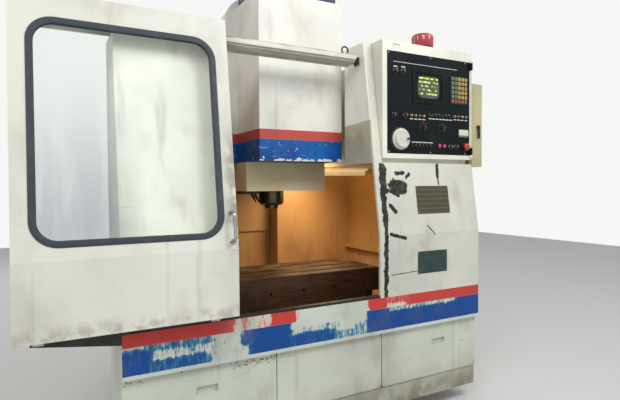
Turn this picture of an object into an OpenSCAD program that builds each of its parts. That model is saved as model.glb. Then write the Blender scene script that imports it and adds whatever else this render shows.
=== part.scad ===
// Vertical machining centre with a sliding front door, a leaning front and a hinged control panel.
// Lengths are millimetres. The origin is on the floor, in the middle of the four anchor holes.
// X runs to the operator's right, Y away from the operator and Z up.

/* [Front covers] */
// Width of the front covers
front_w = 2000; // [1960:10:2060]
// Left edge of the front covers to the spindle axis
front_left = 1019; // [1000:1:1030]
// Spindle axis forward to the face of the front covers
front_reach = 800; // [790:1:815]
// Depth of the folded sides of the front covers
side_fold = 354; // [330:1:370]
// Thickness of the cover sheets
sheet_t = 3; // [2:0.5:4]
// Height at which the front starts to lean back
bend_z = 1015; // [990:5:1040]
// Lean of the upper front from the vertical, in degrees
lean_deg = 8.3; // [7:0.1:9]
// Top of the striped band under the door opening
sill_z = 688; // [680:1:692]
// Height of the striped band
band_h = 188; // [170:1:200]
// Depth of the folded sill behind the striped band
sill_d = 70; // [60:1:90]
// How far the lower panels lie behind the striped band
panel_set = 25; // [15:1:35]
// Height of the lower panels
panel_h = 292; // [280:1:300]
// Width of the left lower panel
panel_left_w = 688; // [660:1:700]
// Width of the middle lower panel
panel_mid_w = 609; // [580:1:630]
// Depth of the lower panels' folded edges
panel_fold = 20; // [14:1:24]
// Gap between neighbouring panels
panel_gap = 5; // [3:1:8]
// Corner radius of the lower panels
panel_r = 14; // [6:1:24]
// Width of a recessed pull
pull_w = 98; // [80:1:110]
// Height of a recessed pull
pull_h = 36; // [30:1:44]
// Depth of a recessed pull
pull_d = 18; // [12:1:24]
// Left edge of the left panel to the middle of its pull
pull_left_x = 355; // [300:1:400]
// Middle of the right panel's pull to that panel's right edge
pull_right_x = 294; // [260:1:330]
// Middle of the pulls above the floor
pull_z = 389; // [370:1:410]
// Height of the toe strip
toe_h = 106; // [95:1:108]
// Toe strip above the floor
toe_z = 88; // [80:1:95]

/* [Door opening and cabinet] */
// Width of the fixed panel on the left
left_panel_w = 470; // [455:1:480]
// Top of the fixed panel on the left
left_panel_top = 1935; // [1925:1:1940]
// Spindle axis to the right edge of the door opening
opening_x = 262; // [255:1:270]
// Width of the rounded pillar at the right of the opening
pillar_w = 54; // [48:1:60]
// Radius of the pillar's rounded edge
pillar_r = 8; // [6:1:10]
// Depth of the pillar's inner side
pillar_d = 16; // [14:1:24]
// How far the upper side plate sits in from the pillar's edge
pillar_inset = 1; // [0.5:0.25:2]
// Back edge of the upper side plate, from the spindle axis
upper_plate_y = -460; // [-480:5:-440]
// Top of the pillar and of the control box
front_top_z = 2060; // [2040:5:2080]
// Top of the leaning panel under the control box
shelf_z = 1402; // [1390:1:1410]

/* [Sliding door] */
// Width of the door
door_w = 841; // [825:1:850]
// Fixed panel's left edge to the door's left edge when open
door_open_x = 372; // [365:1:380]
// Gap between the door's back and the fixed panel
door_gap = 38; // [34:1:44]
// Thickness of the door
door_t = 40; // [36:1:42]
// Bottom of the door
door_z0 = 722; // [716:1:730]
// Top of the door
door_z1 = 2028; // [2024:1:2034]
// Travel of the door
door_travel = 818; // [805:1:825]
// Door's left edge to the window's rubber seal
window_left = 56; // [50:1:64]
// Door's right edge to the window's rubber seal
window_right = 56; // [50:1:90]
// Bend of the door to the window's rubber seal, along the slope
window_low = 46; // [36:1:60]
// Height of the window's rubber seal, along the slope
window_h = 880; // [840:1:890]
// Corner radius of the window's rubber seal
window_r = 100; // [80:1:120]
// Width of the rubber seal
seal_w = 27; // [20:1:34]
// How far the rubber seal stands out of the door
seal_out = 4; // [2:0.5:7]
// Thickness of the window pane
pane_t = 5; // [4:0.5:8]
// Length of the chrome handle
handle_h = 125; // [110:1:150]
// Bend of the door to the handle, along the slope
handle_up = 30; // [20:1:60]
// Door's right edge to the handle
handle_in = 26; // [22:1:40]
// How far the handle stands out
handle_out = 46; // [38:1:60]
// Thickness of the handle's bar
handle_bar = 13; // [9:1:16]
// Radius of the door's rollers
roller_r = 20; // [17:0.5:21]
// Width of the door's rollers
roller_w = 16; // [12:1:18]
// Door's edge to the nearer roller
roller_in = 150; // [130:1:200]

/* [Rails] */
// Top of the upper rail
rail_top_z = 1985; // [1983:1:1988]
// Height of the rail's front lip
lip_h = 24; // [18:1:30]
// Depth of the upper rail
rail_d = 90; // [80:1:95]
// Front face of the upper rail, forward of the spindle axis
rail_y = 650; // [645:1:655]
// Length of both rails past the fixed panel's left edge
rail_out = 300; // [280:1:310]
// Gap between the upper rail's right end and the pillar
rail_short = 47; // [38:1:56]
// Height of the ridge on which the rollers run
ridge_h = 8; // [6:1:10]
// Outer radius of a lifting eye
eye_r = 24; // [20:1:28]
// Thickness of a lifting eye's ring
eye_t = 9; // [7:1:11]

/* [Base and column] */
// Width of the base
base_w = 860; // [840:2:864]
// Front end of the base, forward of the spindle axis
base_front = 540; // [520:5:560]
// Rear end of the base, behind the spindle axis
base_rear = 1100; // [1090:5:1130]
// Underside of the base above the floor
base_z0 = 60; // [50:1:70]
// Top of the base
base_z1 = 470; // [464:1:474]
// How far the anchor holes stand out from the base's flanks
anchor_out = 45; // [42:1:50]
// Front to back distance of the anchor holes
anchor_y = 1440; // [1420:2:1450]
// Spindle axis forward to the front anchor holes
anchor_front = 470; // [460:1:475]
// Radius of the anchor holes
anchor_r = 11; // [8:0.5:14]
// Thickness of the foot flanges
flange_t = 40; // [30:1:50]
// Half width of the floor plates
pad_r = 45; // [38:1:50]
// Thickness of the floor plates
pad_t = 22; // [16:1:30]
// Radius of the levelling screws
level_r = 12; // [9:0.5:14]
// Anchor hole to levelling screw
level_dy = 80; // [70:1:90]
// Height of the slideways for the saddle
way_h = 60; // [52:1:64]
// Width of the slideways for the saddle
way_w = 90; // [80:1:96]
// Centre line to each slideway for the saddle
way_x = 245; // [238:1:252]
// Width of the column
column_w = 600; // [560:5:620]
// Front face of the column, behind the spindle axis
column_y = 665; // [662:1:670]
// Height over both bearing blocks of the head's ball screw
z_block_span = 900; // [880:5:910]
// Top of the column
column_z1 = 2050; // [2030:5:2060]
// Depth of the upright slideways
zway_d = 60; // [55:1:62]
// Width of the upright slideways
zway_w = 80; // [70:1:84]
// Centre line to each upright slideway
zway_x = 190; // [186:1:194]

/* [Saddle and table] */
// Length of the table
table_w = 1050; // [1000:5:1060]
// Depth of the table
table_d = 430; // [400:2:434]
// Top of the table
table_z = 780; // [770:1:800]
// Table's middle forward of the spindle axis at rest
table_rest = 220; // [200:1:224]
// Number of T-slots
slot_count = 3; // [2:1:4]
// Distance of the T-slots
slot_pitch = 125; // [80:1:140]
// Width of a T-slot's neck
slot_w = 18; // [14:0.5:22]
// Depth of a T-slot's neck
slot_neck = 18; // [14:1:22]
// Width of a T-slot's foot
slot_foot_w = 30; // [26:1:36]
// Height of a T-slot's foot
slot_foot_h = 13; // [10:1:16]
// Number of tapped holes in the table's front
front_holes = 5; // [3:1:6]
// Distance of the tapped holes
hole_pitch = 202; // [150:1:205]
// Radius of the tapped holes
hole_r = 8; // [5:0.5:10]
// Tapped holes below the table's top
hole_down = 90; // [70:1:95]
// Depth of the tapped holes
hole_deep = 25; // [15:1:30]
// Thickness of the saddle above its slideways
saddle_t = 110; // [104:1:116]
// Width of the saddle
saddle_w = 860; // [830:2:870]
// Height of the table's slideways
xway_h = 22; // [16:1:26]
// Width of the table's slideways
xway_w = 60; // [46:1:70]
// Saddle's middle to each of the table's slideways
xway_y = 140; // [130:1:150]

/* [Ball screws and motors] */
// Radius of the ball screws
screw_r = 16; // [12:0.5:18]
// Running clearance at the bearings
bearing_gap = 0.05; // [0.02:0.01:0.1]
// Clearance between sliding faces
slide_gap = 0.3; // [0.2:0.05:0.5]
// Radius of the ball nuts
nut_r = 30; // [26:1:34]
// Length of the ball nuts
nut_l = 80; // [60:1:90]
// Thickness of the screws' bearing blocks
block_t = 30; // [24:1:34]
// Width of the servo motors
motor_w = 112; // [96:2:114]
// Length of the servo motors
motor_l = 165; // [140:1:175]

/* [Head] */
// Width of the head
head_w = 519; // [500:1:525]
// Front of the lower head, forward of the spindle axis
head_front = 233; // [220:1:245]
// Underside of the head
head_z0 = 1250; // [1245:1:1256]
// Bottom of the striped head cover
cover_z0 = 1418; // [1414:1:1424]
// Top of the striped head cover
cover_z1 = 2329; // [2320:1:2340]
// Front of the striped head cover, forward of the spindle axis
cover_front = 430; // [425:1:440]
// Back of the striped head cover, forward of the spindle axis
cover_back = 90; // [80:1:100]
// Width of the rear head cover
rear_cover_w = 668; // [650:2:700]
// Back of the rear head cover, behind the spindle axis
rear_cover_back = 425; // [400:1:435]
// Top of the rear head cover
rear_cover_z1 = 2402; // [2380:1:2420]
// Corner radius of the rear head cover
rear_cover_r = 170; // [140:1:200]
// Width of the head casting above the covers' bottom
casting_w = 400; // [380:2:410]
// Bottom of the head's upright slide
slide_z0 = 1370; // [1360:1:1380]
// Top of the head casting
casting_z1 = 2000; // [1980:5:2010]
// Width of the motor casing on the head
casing_w = 490; // [450:2:500]
// Height of the motor casing on the head
casing_h = 122; // [100:1:140]
// Radius of the spindle cartridge
cartridge_r = 79; // [76:1:84]
// Bottom of the spindle cartridge
cartridge_z = 1160; // [1156:1:1170]
// Bottom of the spindle nose
nose_z = 1142; // [1136:1:1150]
// Radius of the spindle nose
nose_r = 44; // [40:0.5:50]
// Radius of the spindle shaft
shaft_r = 35; // [32:0.5:38]
// Radius of the tool taper at the nose
taper_r = 22.2; // [20:0.1:24]
// Depth of the tool taper
taper_d = 65; // [55:1:75]
// Radius of the drawbar hole behind the tool taper
drawbar_r = 9; // [7:0.5:10]

/* [Tool carousel] */
// Circle of the tool pockets
pocket_circle = 230; // [220:1:235]
// Number of tool pockets
pocket_count = 12; // [8:1:14]
// Width of a tool pocket
pocket_w = 45; // [38:1:50]
// Thickness of the carousel's disc
disc_t = 26; // [20:1:30]
// Underside of the carousel's disc
disc_z = 1084; // [1080:1:1090]
// Travel of the carousel to the spindle
carousel_travel = 300; // [290:1:305]
// Height of the carousel's guide beam
beam_h = 60; // [50:1:64]
// Depth of the carousel's guide beam
beam_d = 40; // [30:1:44]

/* [Work zone] */
// Inner half width of the work zone
zone_x = 890; // [885:1:895]
// Back wall of the work zone, behind the spindle axis
zone_back = 450; // [446:1:456]
// Half width of the channel in the back wall
channel_x = 252; // [249:1:256]
// Depth of the channel in the back wall
channel_d = 148; // [144:1:150]
// Top of the channel's rear plate
channel_z1 = 1060; // [1040:5:1062]
// Top of the side and back walls
wall_z1 = 2000; // [1980:5:2020]
// Height of the chip tray
tray_z = 440; // [432:1:446]
// Spindle axis to the upper side wall inside on the right
housing_x = 381; // [376:1:386]
// Height of the ledge on the right wall
ledge_z = 790; // [780:1:800]
// Depth of the ledge on the right wall
ledge_d = 42; // [30:1:50]
// Drop of the ledge's front edge
ledge_h = 25; // [18:1:32]
// Length of the work lamp
lamp_l = 420; // [360:5:460]
// Radius of the work lamp
lamp_r = 22; // [18:1:26]

/* [Control panel] */
// Face of the control box, forward of the spindle axis
box_front = 745; // [743:1:748]
// Depth of the control box
box_d = 185; // [180:1:190]
// Bottom of the control box
box_z0 = 1428; // [1424:1:1432]
// Width of the control panel
panel_w = 610; // [600:1:616]
// Height of the control panel
panel_face_h = 550; // [540:1:556]
// Thickness of the control panel
panel_t = 5; // [4:0.5:6]
// Bottom strip of the control box's frame
frame_low = 27; // [24:1:30]
// Right strip of the control box's frame
frame_right = 21; // [19:1:24]
// Clearance around the control panel
panel_play = 1.5; // [1:0.25:2]
// Radius of the panel's hinge knuckles
knuckle_r = 8; // [6:0.5:8]
// Width of the screen's bezel
screen_w = 236; // [220:1:244]
// Height of the screen's bezel
screen_h = 188; // [170:1:196]
// Depth of the screen's housing behind the panel
screen_d = 120; // [100:1:130]
// Left edge of the panel to the screen's middle
screen_x = 292; // [285:1:300]
// Bottom of the panel to the screen's middle
screen_z = 376; // [370:1:385]
// Rows of keys
key_rows = 6; // [4:1:7]
// Columns of keys
key_cols = 5; // [3:1:5]
// Distance of the keys
key_pitch = 26; // [22:1:27]
// Size of a key
key_w = 19; // [14:1:20]
// Left edge of the panel to the first key
key_x = 462; // [455:1:465]
// Bottom of the panel to the lowest key
key_z = 303; // [295:1:330]
// Radius of the handwheel
wheel_r = 58; // [50:1:62]
// Thickness of the handwheel
wheel_t = 26; // [20:1:32]
// Left edge of the panel to the handwheel
wheel_x = 88; // [82:1:94]
// Bottom of the panel to the handwheel
wheel_z = 78; // [72:1:84]
// Radius of the dials
dial_r = 18; // [14:1:21]
// Left edge of the panel to the feed dial
feed_x = 253; // [245:1:260]
// Left edge of the panel to the mode dial
mode_x = 395; // [388:1:402]
// Bottom of the panel to both dials
dial_z = 153; // [148:1:158]
// Radius of the push buttons
button_r = 11; // [8:0.5:12]
// Travel of the push buttons
button_travel = 4; // [3:0.5:5]
// Left edge of the panel to the start button
start_x = 368; // [362:1:372]
// Left edge of the panel to the stop button
stop_x = 404; // [398:1:410]
// Bottom of the panel to the buttons
button_z = 49; // [44:1:54]
// Radius of the emergency stop
stop_r = 21; // [18:1:24]
// Left edge of the panel to the emergency stop
estop_x = 575; // [568:1:580]
// Travel of the emergency stop
estop_travel = 6; // [4:0.5:7]
// Radius of the beacon
beacon_r = 62; // [50:1:66]
// Height of the beacon
beacon_h = 82; // [70:1:100]

/* [Side box and rear cabinet] */
// Width of the box on the right side
side_box_w = 80; // [66:1:84]
// Bottom of the box on the right side
side_box_z0 = 1388; // [1380:1:1394]
// Height of the box on the right side
side_box_h = 495; // [480:1:510]
// Depth of the box on the right side
side_box_d = 176; // [160:1:180]
// Length of the side box's latch
latch_l = 78; // [64:1:90]
// Width of the rear cabinet
rear_box_w = 1200; // [1100:10:1240]
// Depth of the rear cabinet
rear_box_d = 280; // [240:5:320]
// Bottom of the rear cabinet
rear_box_z0 = 350; // [320:5:380]
// Top of the rear cabinet
rear_box_z1 = 1900; // [1850:5:1940]

/* [Hidden] */

$fn = 48;
eps = 0.01;
spindle_y = anchor_front - anchor_y / 2;
left_x = -front_left;
right_x = front_w - front_left;
face_y = -front_reach;
fold_y = face_y + side_fold;
band_z = sill_z - band_h;
panel_top = band_z - panel_gap;
panel_z = panel_top - panel_h;
toe_top = panel_z - panel_gap;
fixed_x = left_x + left_panel_w;
door_x = left_x - door_open_x;
door_back = face_y - door_gap;
door_face = door_back - door_t;
seal_x = door_x + window_left;
seal_len = door_w - window_left - window_right;
rail_left = left_x - rail_out;
rail_right = opening_x - rail_short;
rail_front = -rail_y;
roller_z = rail_top_z + ridge_h + slide_gap + roller_r;
roller_y = rail_front + 25;
way_z = base_z1 + way_h;
anchor_x = base_w + 2 * anchor_out;
z_block_z = column_z1 - z_block_span;
saddle_z0 = way_z + slide_gap;
saddle_z1 = saddle_z0 + saddle_t;
table_z0 = saddle_z1 + slide_gap;
y_screw_z = base_z1 - 42;
x_screw_z = saddle_z1 - 58;
zway_y = column_y - zway_d;
z_screw_y = column_y - 34;
nut_z = 1600;
box_x0 = opening_x + pillar_w + 2;
box_y0 = -box_front;
panel_x1 = right_x - frame_right;
panel_x0 = panel_x1 - panel_w;
panel_z0 = box_z0 + frame_low;
panel_y0 = box_y0 - 1;
control_y = panel_y0 - slide_gap;
carousel_x = -pocket_circle - carousel_travel;
disc_r = pocket_circle + 30;
beam_y = 300;
beam_z = 1150;
carriage_z = disc_z + disc_t + slide_gap;

// How far the leaning front has gone back at a height
function lean_y(z) = z > bend_z ? (z - bend_z) * tan(lean_deg) : 0;

// Places a child in the frame of the spindle axis
module at_spindle() translate([0, spindle_y, 0]) children();

// A profile of (Y, Z) points drawn out from x0 to x1
module along_x(x0, x1, points)
    translate([x0, 0, 0]) rotate([90, 0, 90]) linear_extrude(x1 - x0) polygon(points);

// A folded sheet that follows the front's bend, from z0 to z1
module bent_sheet(x0, x1, y, z0, z1, t) {
    lean_t = t / cos(lean_deg);
    bend_in = t * tan(lean_deg / 2);
    if (z1 > bend_z)
        along_x(x0, x1, [[y, z0], [y, bend_z], [y + lean_y(z1), z1], [y + lean_y(z1) + lean_t, z1],
            [y + t, bend_z - bend_in], [y + t, z0]]);
    else
        translate([x0, y, z0]) cube([x1 - x0, t, z1 - z0]);
}

// A flat side cheek with the front's bend as its front edge
module bent_side(x, y, y_back, z0, z1, t)
    along_x(x, x + t, [[y, z0], [y, min(bend_z, z1)], [y + lean_y(z1), z1], [y_back, z1], [y_back, z0]]);

// Tips a child back about the bend line of a face at y
module tipped(y)
    translate([0, y, bend_z]) rotate([-lean_deg, 0, 0]) children();

// A rectangle with round corners, its lower left corner at the origin
module round_rect(w, h, r) {
    translate([r, 0]) square([w - 2 * r, h]);
    translate([0, r]) square([w, h - 2 * r]);
    for (x = [r, w - r], y = [r, h - r]) translate([x, y]) circle(r);
}

// A plate standing in the XZ plane, its front at y and its back at y + t
module upright_plate(x, y, z, w, h, r, t)
    translate([x, y + t, z]) rotate([90, 0, 0]) linear_extrude(t) round_rect(w, h, r);

// A cylinder lying along Y, from y0 to y1
module rod_y(x, y0, y1, z, r) translate([x, y1, z]) rotate([90, 0, 0]) cylinder(h = y1 - y0, r = r);

// A cylinder lying along X, from x0 to x1
module rod_x(x0, x1, y, z, r) translate([x0, y, z]) rotate([0, 90, 0]) cylinder(h = x1 - x0, r = r);

// One foot with its anchor hole and its levelling screw's hole
module foot(side, y) difference() {
    translate([side > 0 ? base_w / 2 - eps : -base_w / 2 - 110, y - 50, base_z0])
        cube([110 + eps, 190, flange_t]);
    translate([side * anchor_x / 2, y, base_z0 - 1]) cylinder(h = flange_t + 2, r = anchor_r);
    translate([side * anchor_x / 2, y + level_dy, base_z0 - 1])
        cylinder(h = flange_t + 2, r = level_r + slide_gap);
}

// Cast base with feet, slideways and the trough for the saddle's ball screw
module base_casting() color("gainsboro") at_spindle() {
    trough = 2 * nut_r + 60;
    rear_foot = anchor_y - anchor_front;
    difference() {
        translate([-base_w / 2, -base_front, base_z0])
            cube([base_w, base_front + base_rear, base_z1 - base_z0]);
        translate([-trough / 2, -base_front - 1, base_z1 - 90]) cube([trough, base_front + 341, 91]);
        for (side = [-1, 1], k = [0 : 4])
            translate([side * (base_w / 2 - 20) - 30, -base_front + 130 + k * 290, base_z0 + 110])
                cube([60, 200, base_z1 - base_z0 - 190]);
    }
    for (side = [-1, 1]) {
        foot(side, -anchor_front);
        foot(side, rear_foot);
        translate([side * way_x - way_w / 2, -460, base_z1 - eps]) cube([way_w, 920, way_h + eps]);
    }
    for (y = [-300 - block_t, 300]) difference() {
        translate([-trough / 2 - eps, y, base_z1 - 90 - eps]) cube([trough + 2 * eps, block_t, 84]);
        rod_y(0, y - 1, y + block_t + 1, y_screw_z, screw_r + bearing_gap);
    }
}

// Floor plates with the anchor holes and the levelling screws
module levelling_pads() color("dimgray") at_spindle()
    for (side = [-1, 1], y = [-anchor_front, anchor_y - anchor_front])
        translate([side * anchor_x / 2, y, 0]) {
            difference() {
                translate([-pad_r, -50, 0]) cube([2 * pad_r, 190, pad_t]);
                translate([0, 0, -1]) cylinder(h = pad_t + 2, r = anchor_r);
            }
            translate([0, level_dy, pad_t - eps]) cylinder(h = base_z0 + flange_t + 30 - pad_t, r = level_r);
            translate([0, level_dy, base_z0 - 18 - slide_gap]) cylinder(h = 18, r = 1.7 * level_r, $fn = 6);
        }

// Cast column with two upright slideways and the ball screw's bearing blocks
module column() color("gainsboro") at_spindle() {
    difference() {
        translate([-column_w / 2, column_y, base_z1]) cube([column_w, base_rear - column_y, column_z1 - base_z1]);
        for (side = [-1, 1], k = [0 : 3])
            translate([side * (column_w / 2 - 15) - 20, column_y + 110, base_z1 + 160 + k * 350])
                cube([40, 210, 250]);
    }
    for (side = [-1, 1]) translate([side * zway_x - zway_w / 2, zway_y, z_block_z - 60])
        cube([zway_w, zway_d + eps, z_block_span + 50]);
    for (z = [z_block_z, column_z1 - block_t]) difference() {
        translate([-55, z_screw_y - 34, z]) cube([110, column_y - z_screw_y + 34 + eps, block_t]);
        translate([0, z_screw_y, z - 1]) cylinder(h = block_t + 2, r = screw_r + bearing_gap);
    }
}

// One square servo motor with its flange at the origin, pointing along +Z
module servo(w, l) {
    translate([-w / 2, -w / 2, 0]) cube([w, w, 14]);
    translate([0, 0, 14 - eps]) linear_extrude(l - 60) translate([-w / 2 + 4, -w / 2 + 4])
        round_rect(w - 8, w - 8, 14);
    translate([0, 0, l - 46 - 2 * eps]) cylinder(h = 46, r = w / 2 - 8);
    translate([w / 2 - 26, -20, 40]) cube([40, 40, 34]);
}

// Motors of the saddle's and the head's ball screws
module axis_motors() color("dimgray") at_spindle() {
    translate([0, -300 - block_t, y_screw_z]) rotate([90, 0, 0]) rotate([0, 0, 90])
        servo(motor_w * 0.72, motor_l);
    translate([0, z_screw_y, column_z1]) rotate([0, 0, 90]) servo(motor_w, motor_l);
}

// Sheet tray round the base that catches chips, with raised edges
module chip_tray() color("tan") at_spindle() {
    inner = base_w / 2 + slide_gap;
    outer = zone_x - slide_gap;
    front = face_y + panel_set + panel_fold + sheet_t + slide_gap;
    back = zone_back - slide_gap;
    for (side = [-1, 1]) {
        translate([side > 0 ? inner : -outer, front, tray_z]) cube([outer - inner, back - front, sheet_t]);
        translate([side > 0 ? inner : -inner - sheet_t, -base_front, tray_z])
            cube([sheet_t, base_front + back, 26]);
        translate([side > 0 ? outer - sheet_t : -outer, front, tray_z]) cube([sheet_t, back - front, 46]);
    }
    translate([-inner - eps, front, tray_z]) cube([2 * inner + 2 * eps, -base_front - slide_gap - front, sheet_t]);
    translate([-outer, front, tray_z]) cube([2 * outer, sheet_t, 46]);
}

// Striped band with its sill, its folded sides and the posts behind the lower panels
module front_cover() color("whitesmoke") at_spindle() {
    back = face_y + panel_set + panel_fold;
    translate([left_x, face_y, band_z]) cube([front_w, sheet_t, band_h]);
    translate([left_x, face_y, sill_z - sheet_t]) cube([front_w, sill_d, sheet_t]);
    translate([left_x, face_y + sill_d - sheet_t, sill_z - 30]) cube([front_w, sheet_t, 30]);
    translate([left_x, face_y, band_z]) cube([front_w, panel_set + panel_fold + sheet_t, sheet_t]);
    for (x = [left_x, right_x - sheet_t])
        along_x(x, x + sheet_t, [[face_y, sill_z], [face_y, band_z], [back, band_z], [back, toe_z],
            [fold_y, toe_z], [fold_y, sill_z]]);
    for (x = [left_x, zone_x + sheet_t]) translate([x, fold_y - sheet_t, tray_z])
        cube([x < 0 ? -zone_x - sheet_t - left_x : right_x - zone_x - sheet_t, sheet_t, sill_z - tray_z]);
    for (x = [left_x + panel_left_w + panel_gap / 2, left_x + panel_left_w + panel_mid_w + 1.5 * panel_gap])
        translate([x - 25, back, toe_z]) cube([50, sheet_t, band_z - toe_z + eps]);
    translate([left_x, back, toe_z]) cube([front_w, sheet_t, toe_h - 10]);
}

// One lower panel, a tray with rounded corners, with or without a recessed pull
module lower_panel(x, w, pull_x) {
    y = face_y + panel_set;
    difference() {
        upright_plate(x, y, panel_z, w, panel_h, panel_r, panel_fold);
        upright_plate(x + sheet_t, y + sheet_t, panel_z + sheet_t, w - 2 * sheet_t, panel_h - 2 * sheet_t,
            panel_r - sheet_t, panel_fold);
        if (pull_x > 0)
            upright_plate(x + pull_x - pull_w / 2, y - 1, pull_z - pull_h / 2, pull_w, pull_h, 5, sheet_t + 2);
    }
    if (pull_x > 0) difference() {
        upright_plate(x + pull_x - pull_w / 2 - 2, y + sheet_t - eps, pull_z - pull_h / 2 - 2,
            pull_w + 4, pull_h + 4, 7, pull_d - sheet_t);
        upright_plate(x + pull_x - pull_w / 2, y + sheet_t - 1, pull_z - pull_h / 2, pull_w, pull_h, 5,
            pull_d - sheet_t - 1);
    }
}

// Left lower panel with its pull
module lower_panel_left() color("whitesmoke") at_spindle() lower_panel(left_x, panel_left_w, pull_left_x);

// Middle lower panel
module lower_panel_middle() color("whitesmoke") at_spindle()
    lower_panel(left_x + panel_left_w + panel_gap, panel_mid_w, 0);

// Right lower panel with its pull
module lower_panel_right() color("whitesmoke") at_spindle() {
    x = left_x + panel_left_w + panel_mid_w + 2 * panel_gap;
    lower_panel(x, right_x - x, right_x - x - pull_right_x);
}

// Plain strip between the lower panels and the floor gap
module toe_strip() color("whitesmoke") at_spindle() {
    y = face_y + panel_set + 8;
    translate([left_x + sheet_t, y, toe_z]) cube([front_w - 2 * sheet_t, sheet_t, toe_top - toe_z]);
    for (z = [toe_z, toe_top - sheet_t])
        translate([left_x + sheet_t, y, z]) cube([front_w - 2 * sheet_t, panel_fold - 8, sheet_t]);
}

// A side cheek of the fixed panel, cut out at the bottom for the door's feet
module notched_side(x, y_back)
    along_x(x, x + sheet_t, [[face_y, door_z0 + 9], [face_y, bend_z],
        [face_y + lean_y(left_panel_top), left_panel_top], [y_back, left_panel_top], [y_back, sill_z],
        [face_y + 45, sill_z], [face_y + 45, door_z0 + 9]]);

// Fixed panel behind the open door, with a slot along its foot for the door's feet
module left_front_panel() color("beige") at_spindle() {
    rail_back = rail_front + rail_d;
    bent_sheet(left_x, fixed_x, face_y, door_z0 + 9, left_panel_top, sheet_t);
    notched_side(left_x, fold_y);
    notched_side(fixed_x - sheet_t, rail_back);
    translate([left_x, face_y, door_z0 + 9]) cube([left_panel_w, 48, sheet_t]);
    translate([left_x, face_y + 45, sill_z]) cube([left_panel_w, sheet_t, door_z0 + 9 - sill_z + eps]);
    translate([left_x, fold_y - sheet_t, sill_z])
        cube([-zone_x - left_x, sheet_t, left_panel_top - sill_z]);
    translate([left_x, face_y + lean_y(left_panel_top), left_panel_top - sheet_t])
        cube([left_panel_w, rail_back - face_y - lean_y(left_panel_top), sheet_t]);
}

// Points on a quarter turn about (r, r), from one angle to another
function quarter(r, radius, from, to, steps = 8) =
    [for (k = [0:steps]) let (a = from + (to - from) * k / steps) [r + radius * cos(a), r + radius * sin(a)]];

// The pillar's folded section: a face, an edge rounded in small flats, and an inner side
module pillar_section(t) polygon(concat([[pillar_w, 0]], quarter(pillar_r, pillar_r, 270, 180),
    [[0, pillar_d], [t, pillar_d]], quarter(pillar_r, pillar_r - t, 180, 270), [[pillar_w, t]]));

// Pillar, leaning panel and upper side plate to the right of the opening
module right_cabinet() color("whitesmoke") at_spindle() {
    panel_x = opening_x + pillar_w;
    plate_x = opening_x + pillar_inset;
    plate_z = shelf_z - sheet_t;
    fold_in = pillar_r + 3;
    translate([opening_x, face_y, sill_z]) linear_extrude(bend_z - sill_z + 1) pillar_section(sheet_t + 0.4);
    tipped(face_y) translate([opening_x, 0, 0])
        linear_extrude((front_top_z - bend_z) / cos(lean_deg)) pillar_section(sheet_t);
    bent_sheet(panel_x - eps, right_x, face_y, sill_z, shelf_z, sheet_t);
    bent_side(right_x - sheet_t, face_y, fold_y, sill_z, shelf_z, sheet_t);
    translate([plate_x, face_y + lean_y(shelf_z) + fold_in, plate_z])
        cube([right_x - plate_x - eps, side_fold - lean_y(shelf_z) - fold_in, sheet_t]);
    translate([panel_x + 5, face_y + lean_y(shelf_z), plate_z])
        cube([right_x - panel_x - 5 - eps, fold_in + 5, sheet_t]);
    translate([zone_x + sheet_t, fold_y - sheet_t, sill_z])
        cube([right_x - zone_x - sheet_t, sheet_t, shelf_z - sill_z]);
    translate([opening_x + 4, face_y + lean_y(front_top_z) + 3, front_top_z - sheet_t])
        cube([pillar_w - 4, 90, sheet_t]);
    along_x(plate_x, plate_x + sheet_t, [[face_y + lean_y(shelf_z) + fold_in, plate_z],
        [face_y + lean_y(front_top_z) + fold_in, front_top_z], [upper_plate_y, front_top_z],
        [upper_plate_y, plate_z]]);
    translate([plate_x, upper_plate_y - sheet_t, plate_z])
        cube([housing_x - plate_x - slide_gap, sheet_t, wall_z1 - plate_z]);
}

// Upper housing on the right, with the inner side wall and the lit lower edge
module upper_housing() color("beige") at_spindle() {
    front = box_y0 + box_d;
    translate([housing_x, front, shelf_z]) cube([sheet_t, zone_back - front - slide_gap, wall_z1 - shelf_z]);
    translate([housing_x, front, shelf_z])
        cube([zone_x - housing_x - slide_gap, zone_back - front - slide_gap, sheet_t]);
    translate([housing_x, front, wall_z1 - sheet_t])
        cube([zone_x - housing_x - slide_gap, zone_back - front - slide_gap, sheet_t]);
}

// Left wall of the work zone
module side_wall_left() color("tan") at_spindle() {
    translate([-zone_x - sheet_t, fold_y, tray_z]) cube([sheet_t, zone_back - fold_y, wall_z1 - tray_z]);
    translate([-zone_x - sheet_t, fold_y, wall_z1 - sheet_t]) cube([40, zone_back - fold_y, sheet_t]);
}

// Right wall of the work zone with its ledge
module side_wall_right() color("tan") at_spindle() {
    translate([zone_x, fold_y, tray_z]) cube([sheet_t, zone_back - fold_y, wall_z1 - tray_z]);
    translate([zone_x - ledge_d, fold_y, ledge_z + ledge_h - sheet_t])
        cube([ledge_d + eps, zone_back - fold_y, sheet_t]);
    translate([zone_x - ledge_d, fold_y, ledge_z]) cube([sheet_t, zone_back - fold_y, ledge_h]);
}

// Back wall of the work zone with the channel in front of the column
module rear_guard() color("tan") at_spindle() {
    z0 = way_z + 8;
    outer = zone_x + sheet_t;
    wing = base_w / 2 + slide_gap;
    for (side = [-1, 1]) {
        translate([side > 0 ? channel_x : -outer, zone_back, z0])
            cube([outer - channel_x, sheet_t, wall_z1 - z0]);
        translate([side > 0 ? wing : -outer, zone_back, tray_z])
            cube([outer - wing, sheet_t, z0 - tray_z + eps]);
        translate([side > 0 ? channel_x : -channel_x - sheet_t, zone_back, z0])
            cube([sheet_t, channel_d, wall_z1 - z0]);
    }
    translate([-channel_x - sheet_t, zone_back + channel_d - eps, z0])
        cube([2 * (channel_x + sheet_t), sheet_t, channel_z1 - z0]);
}

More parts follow.
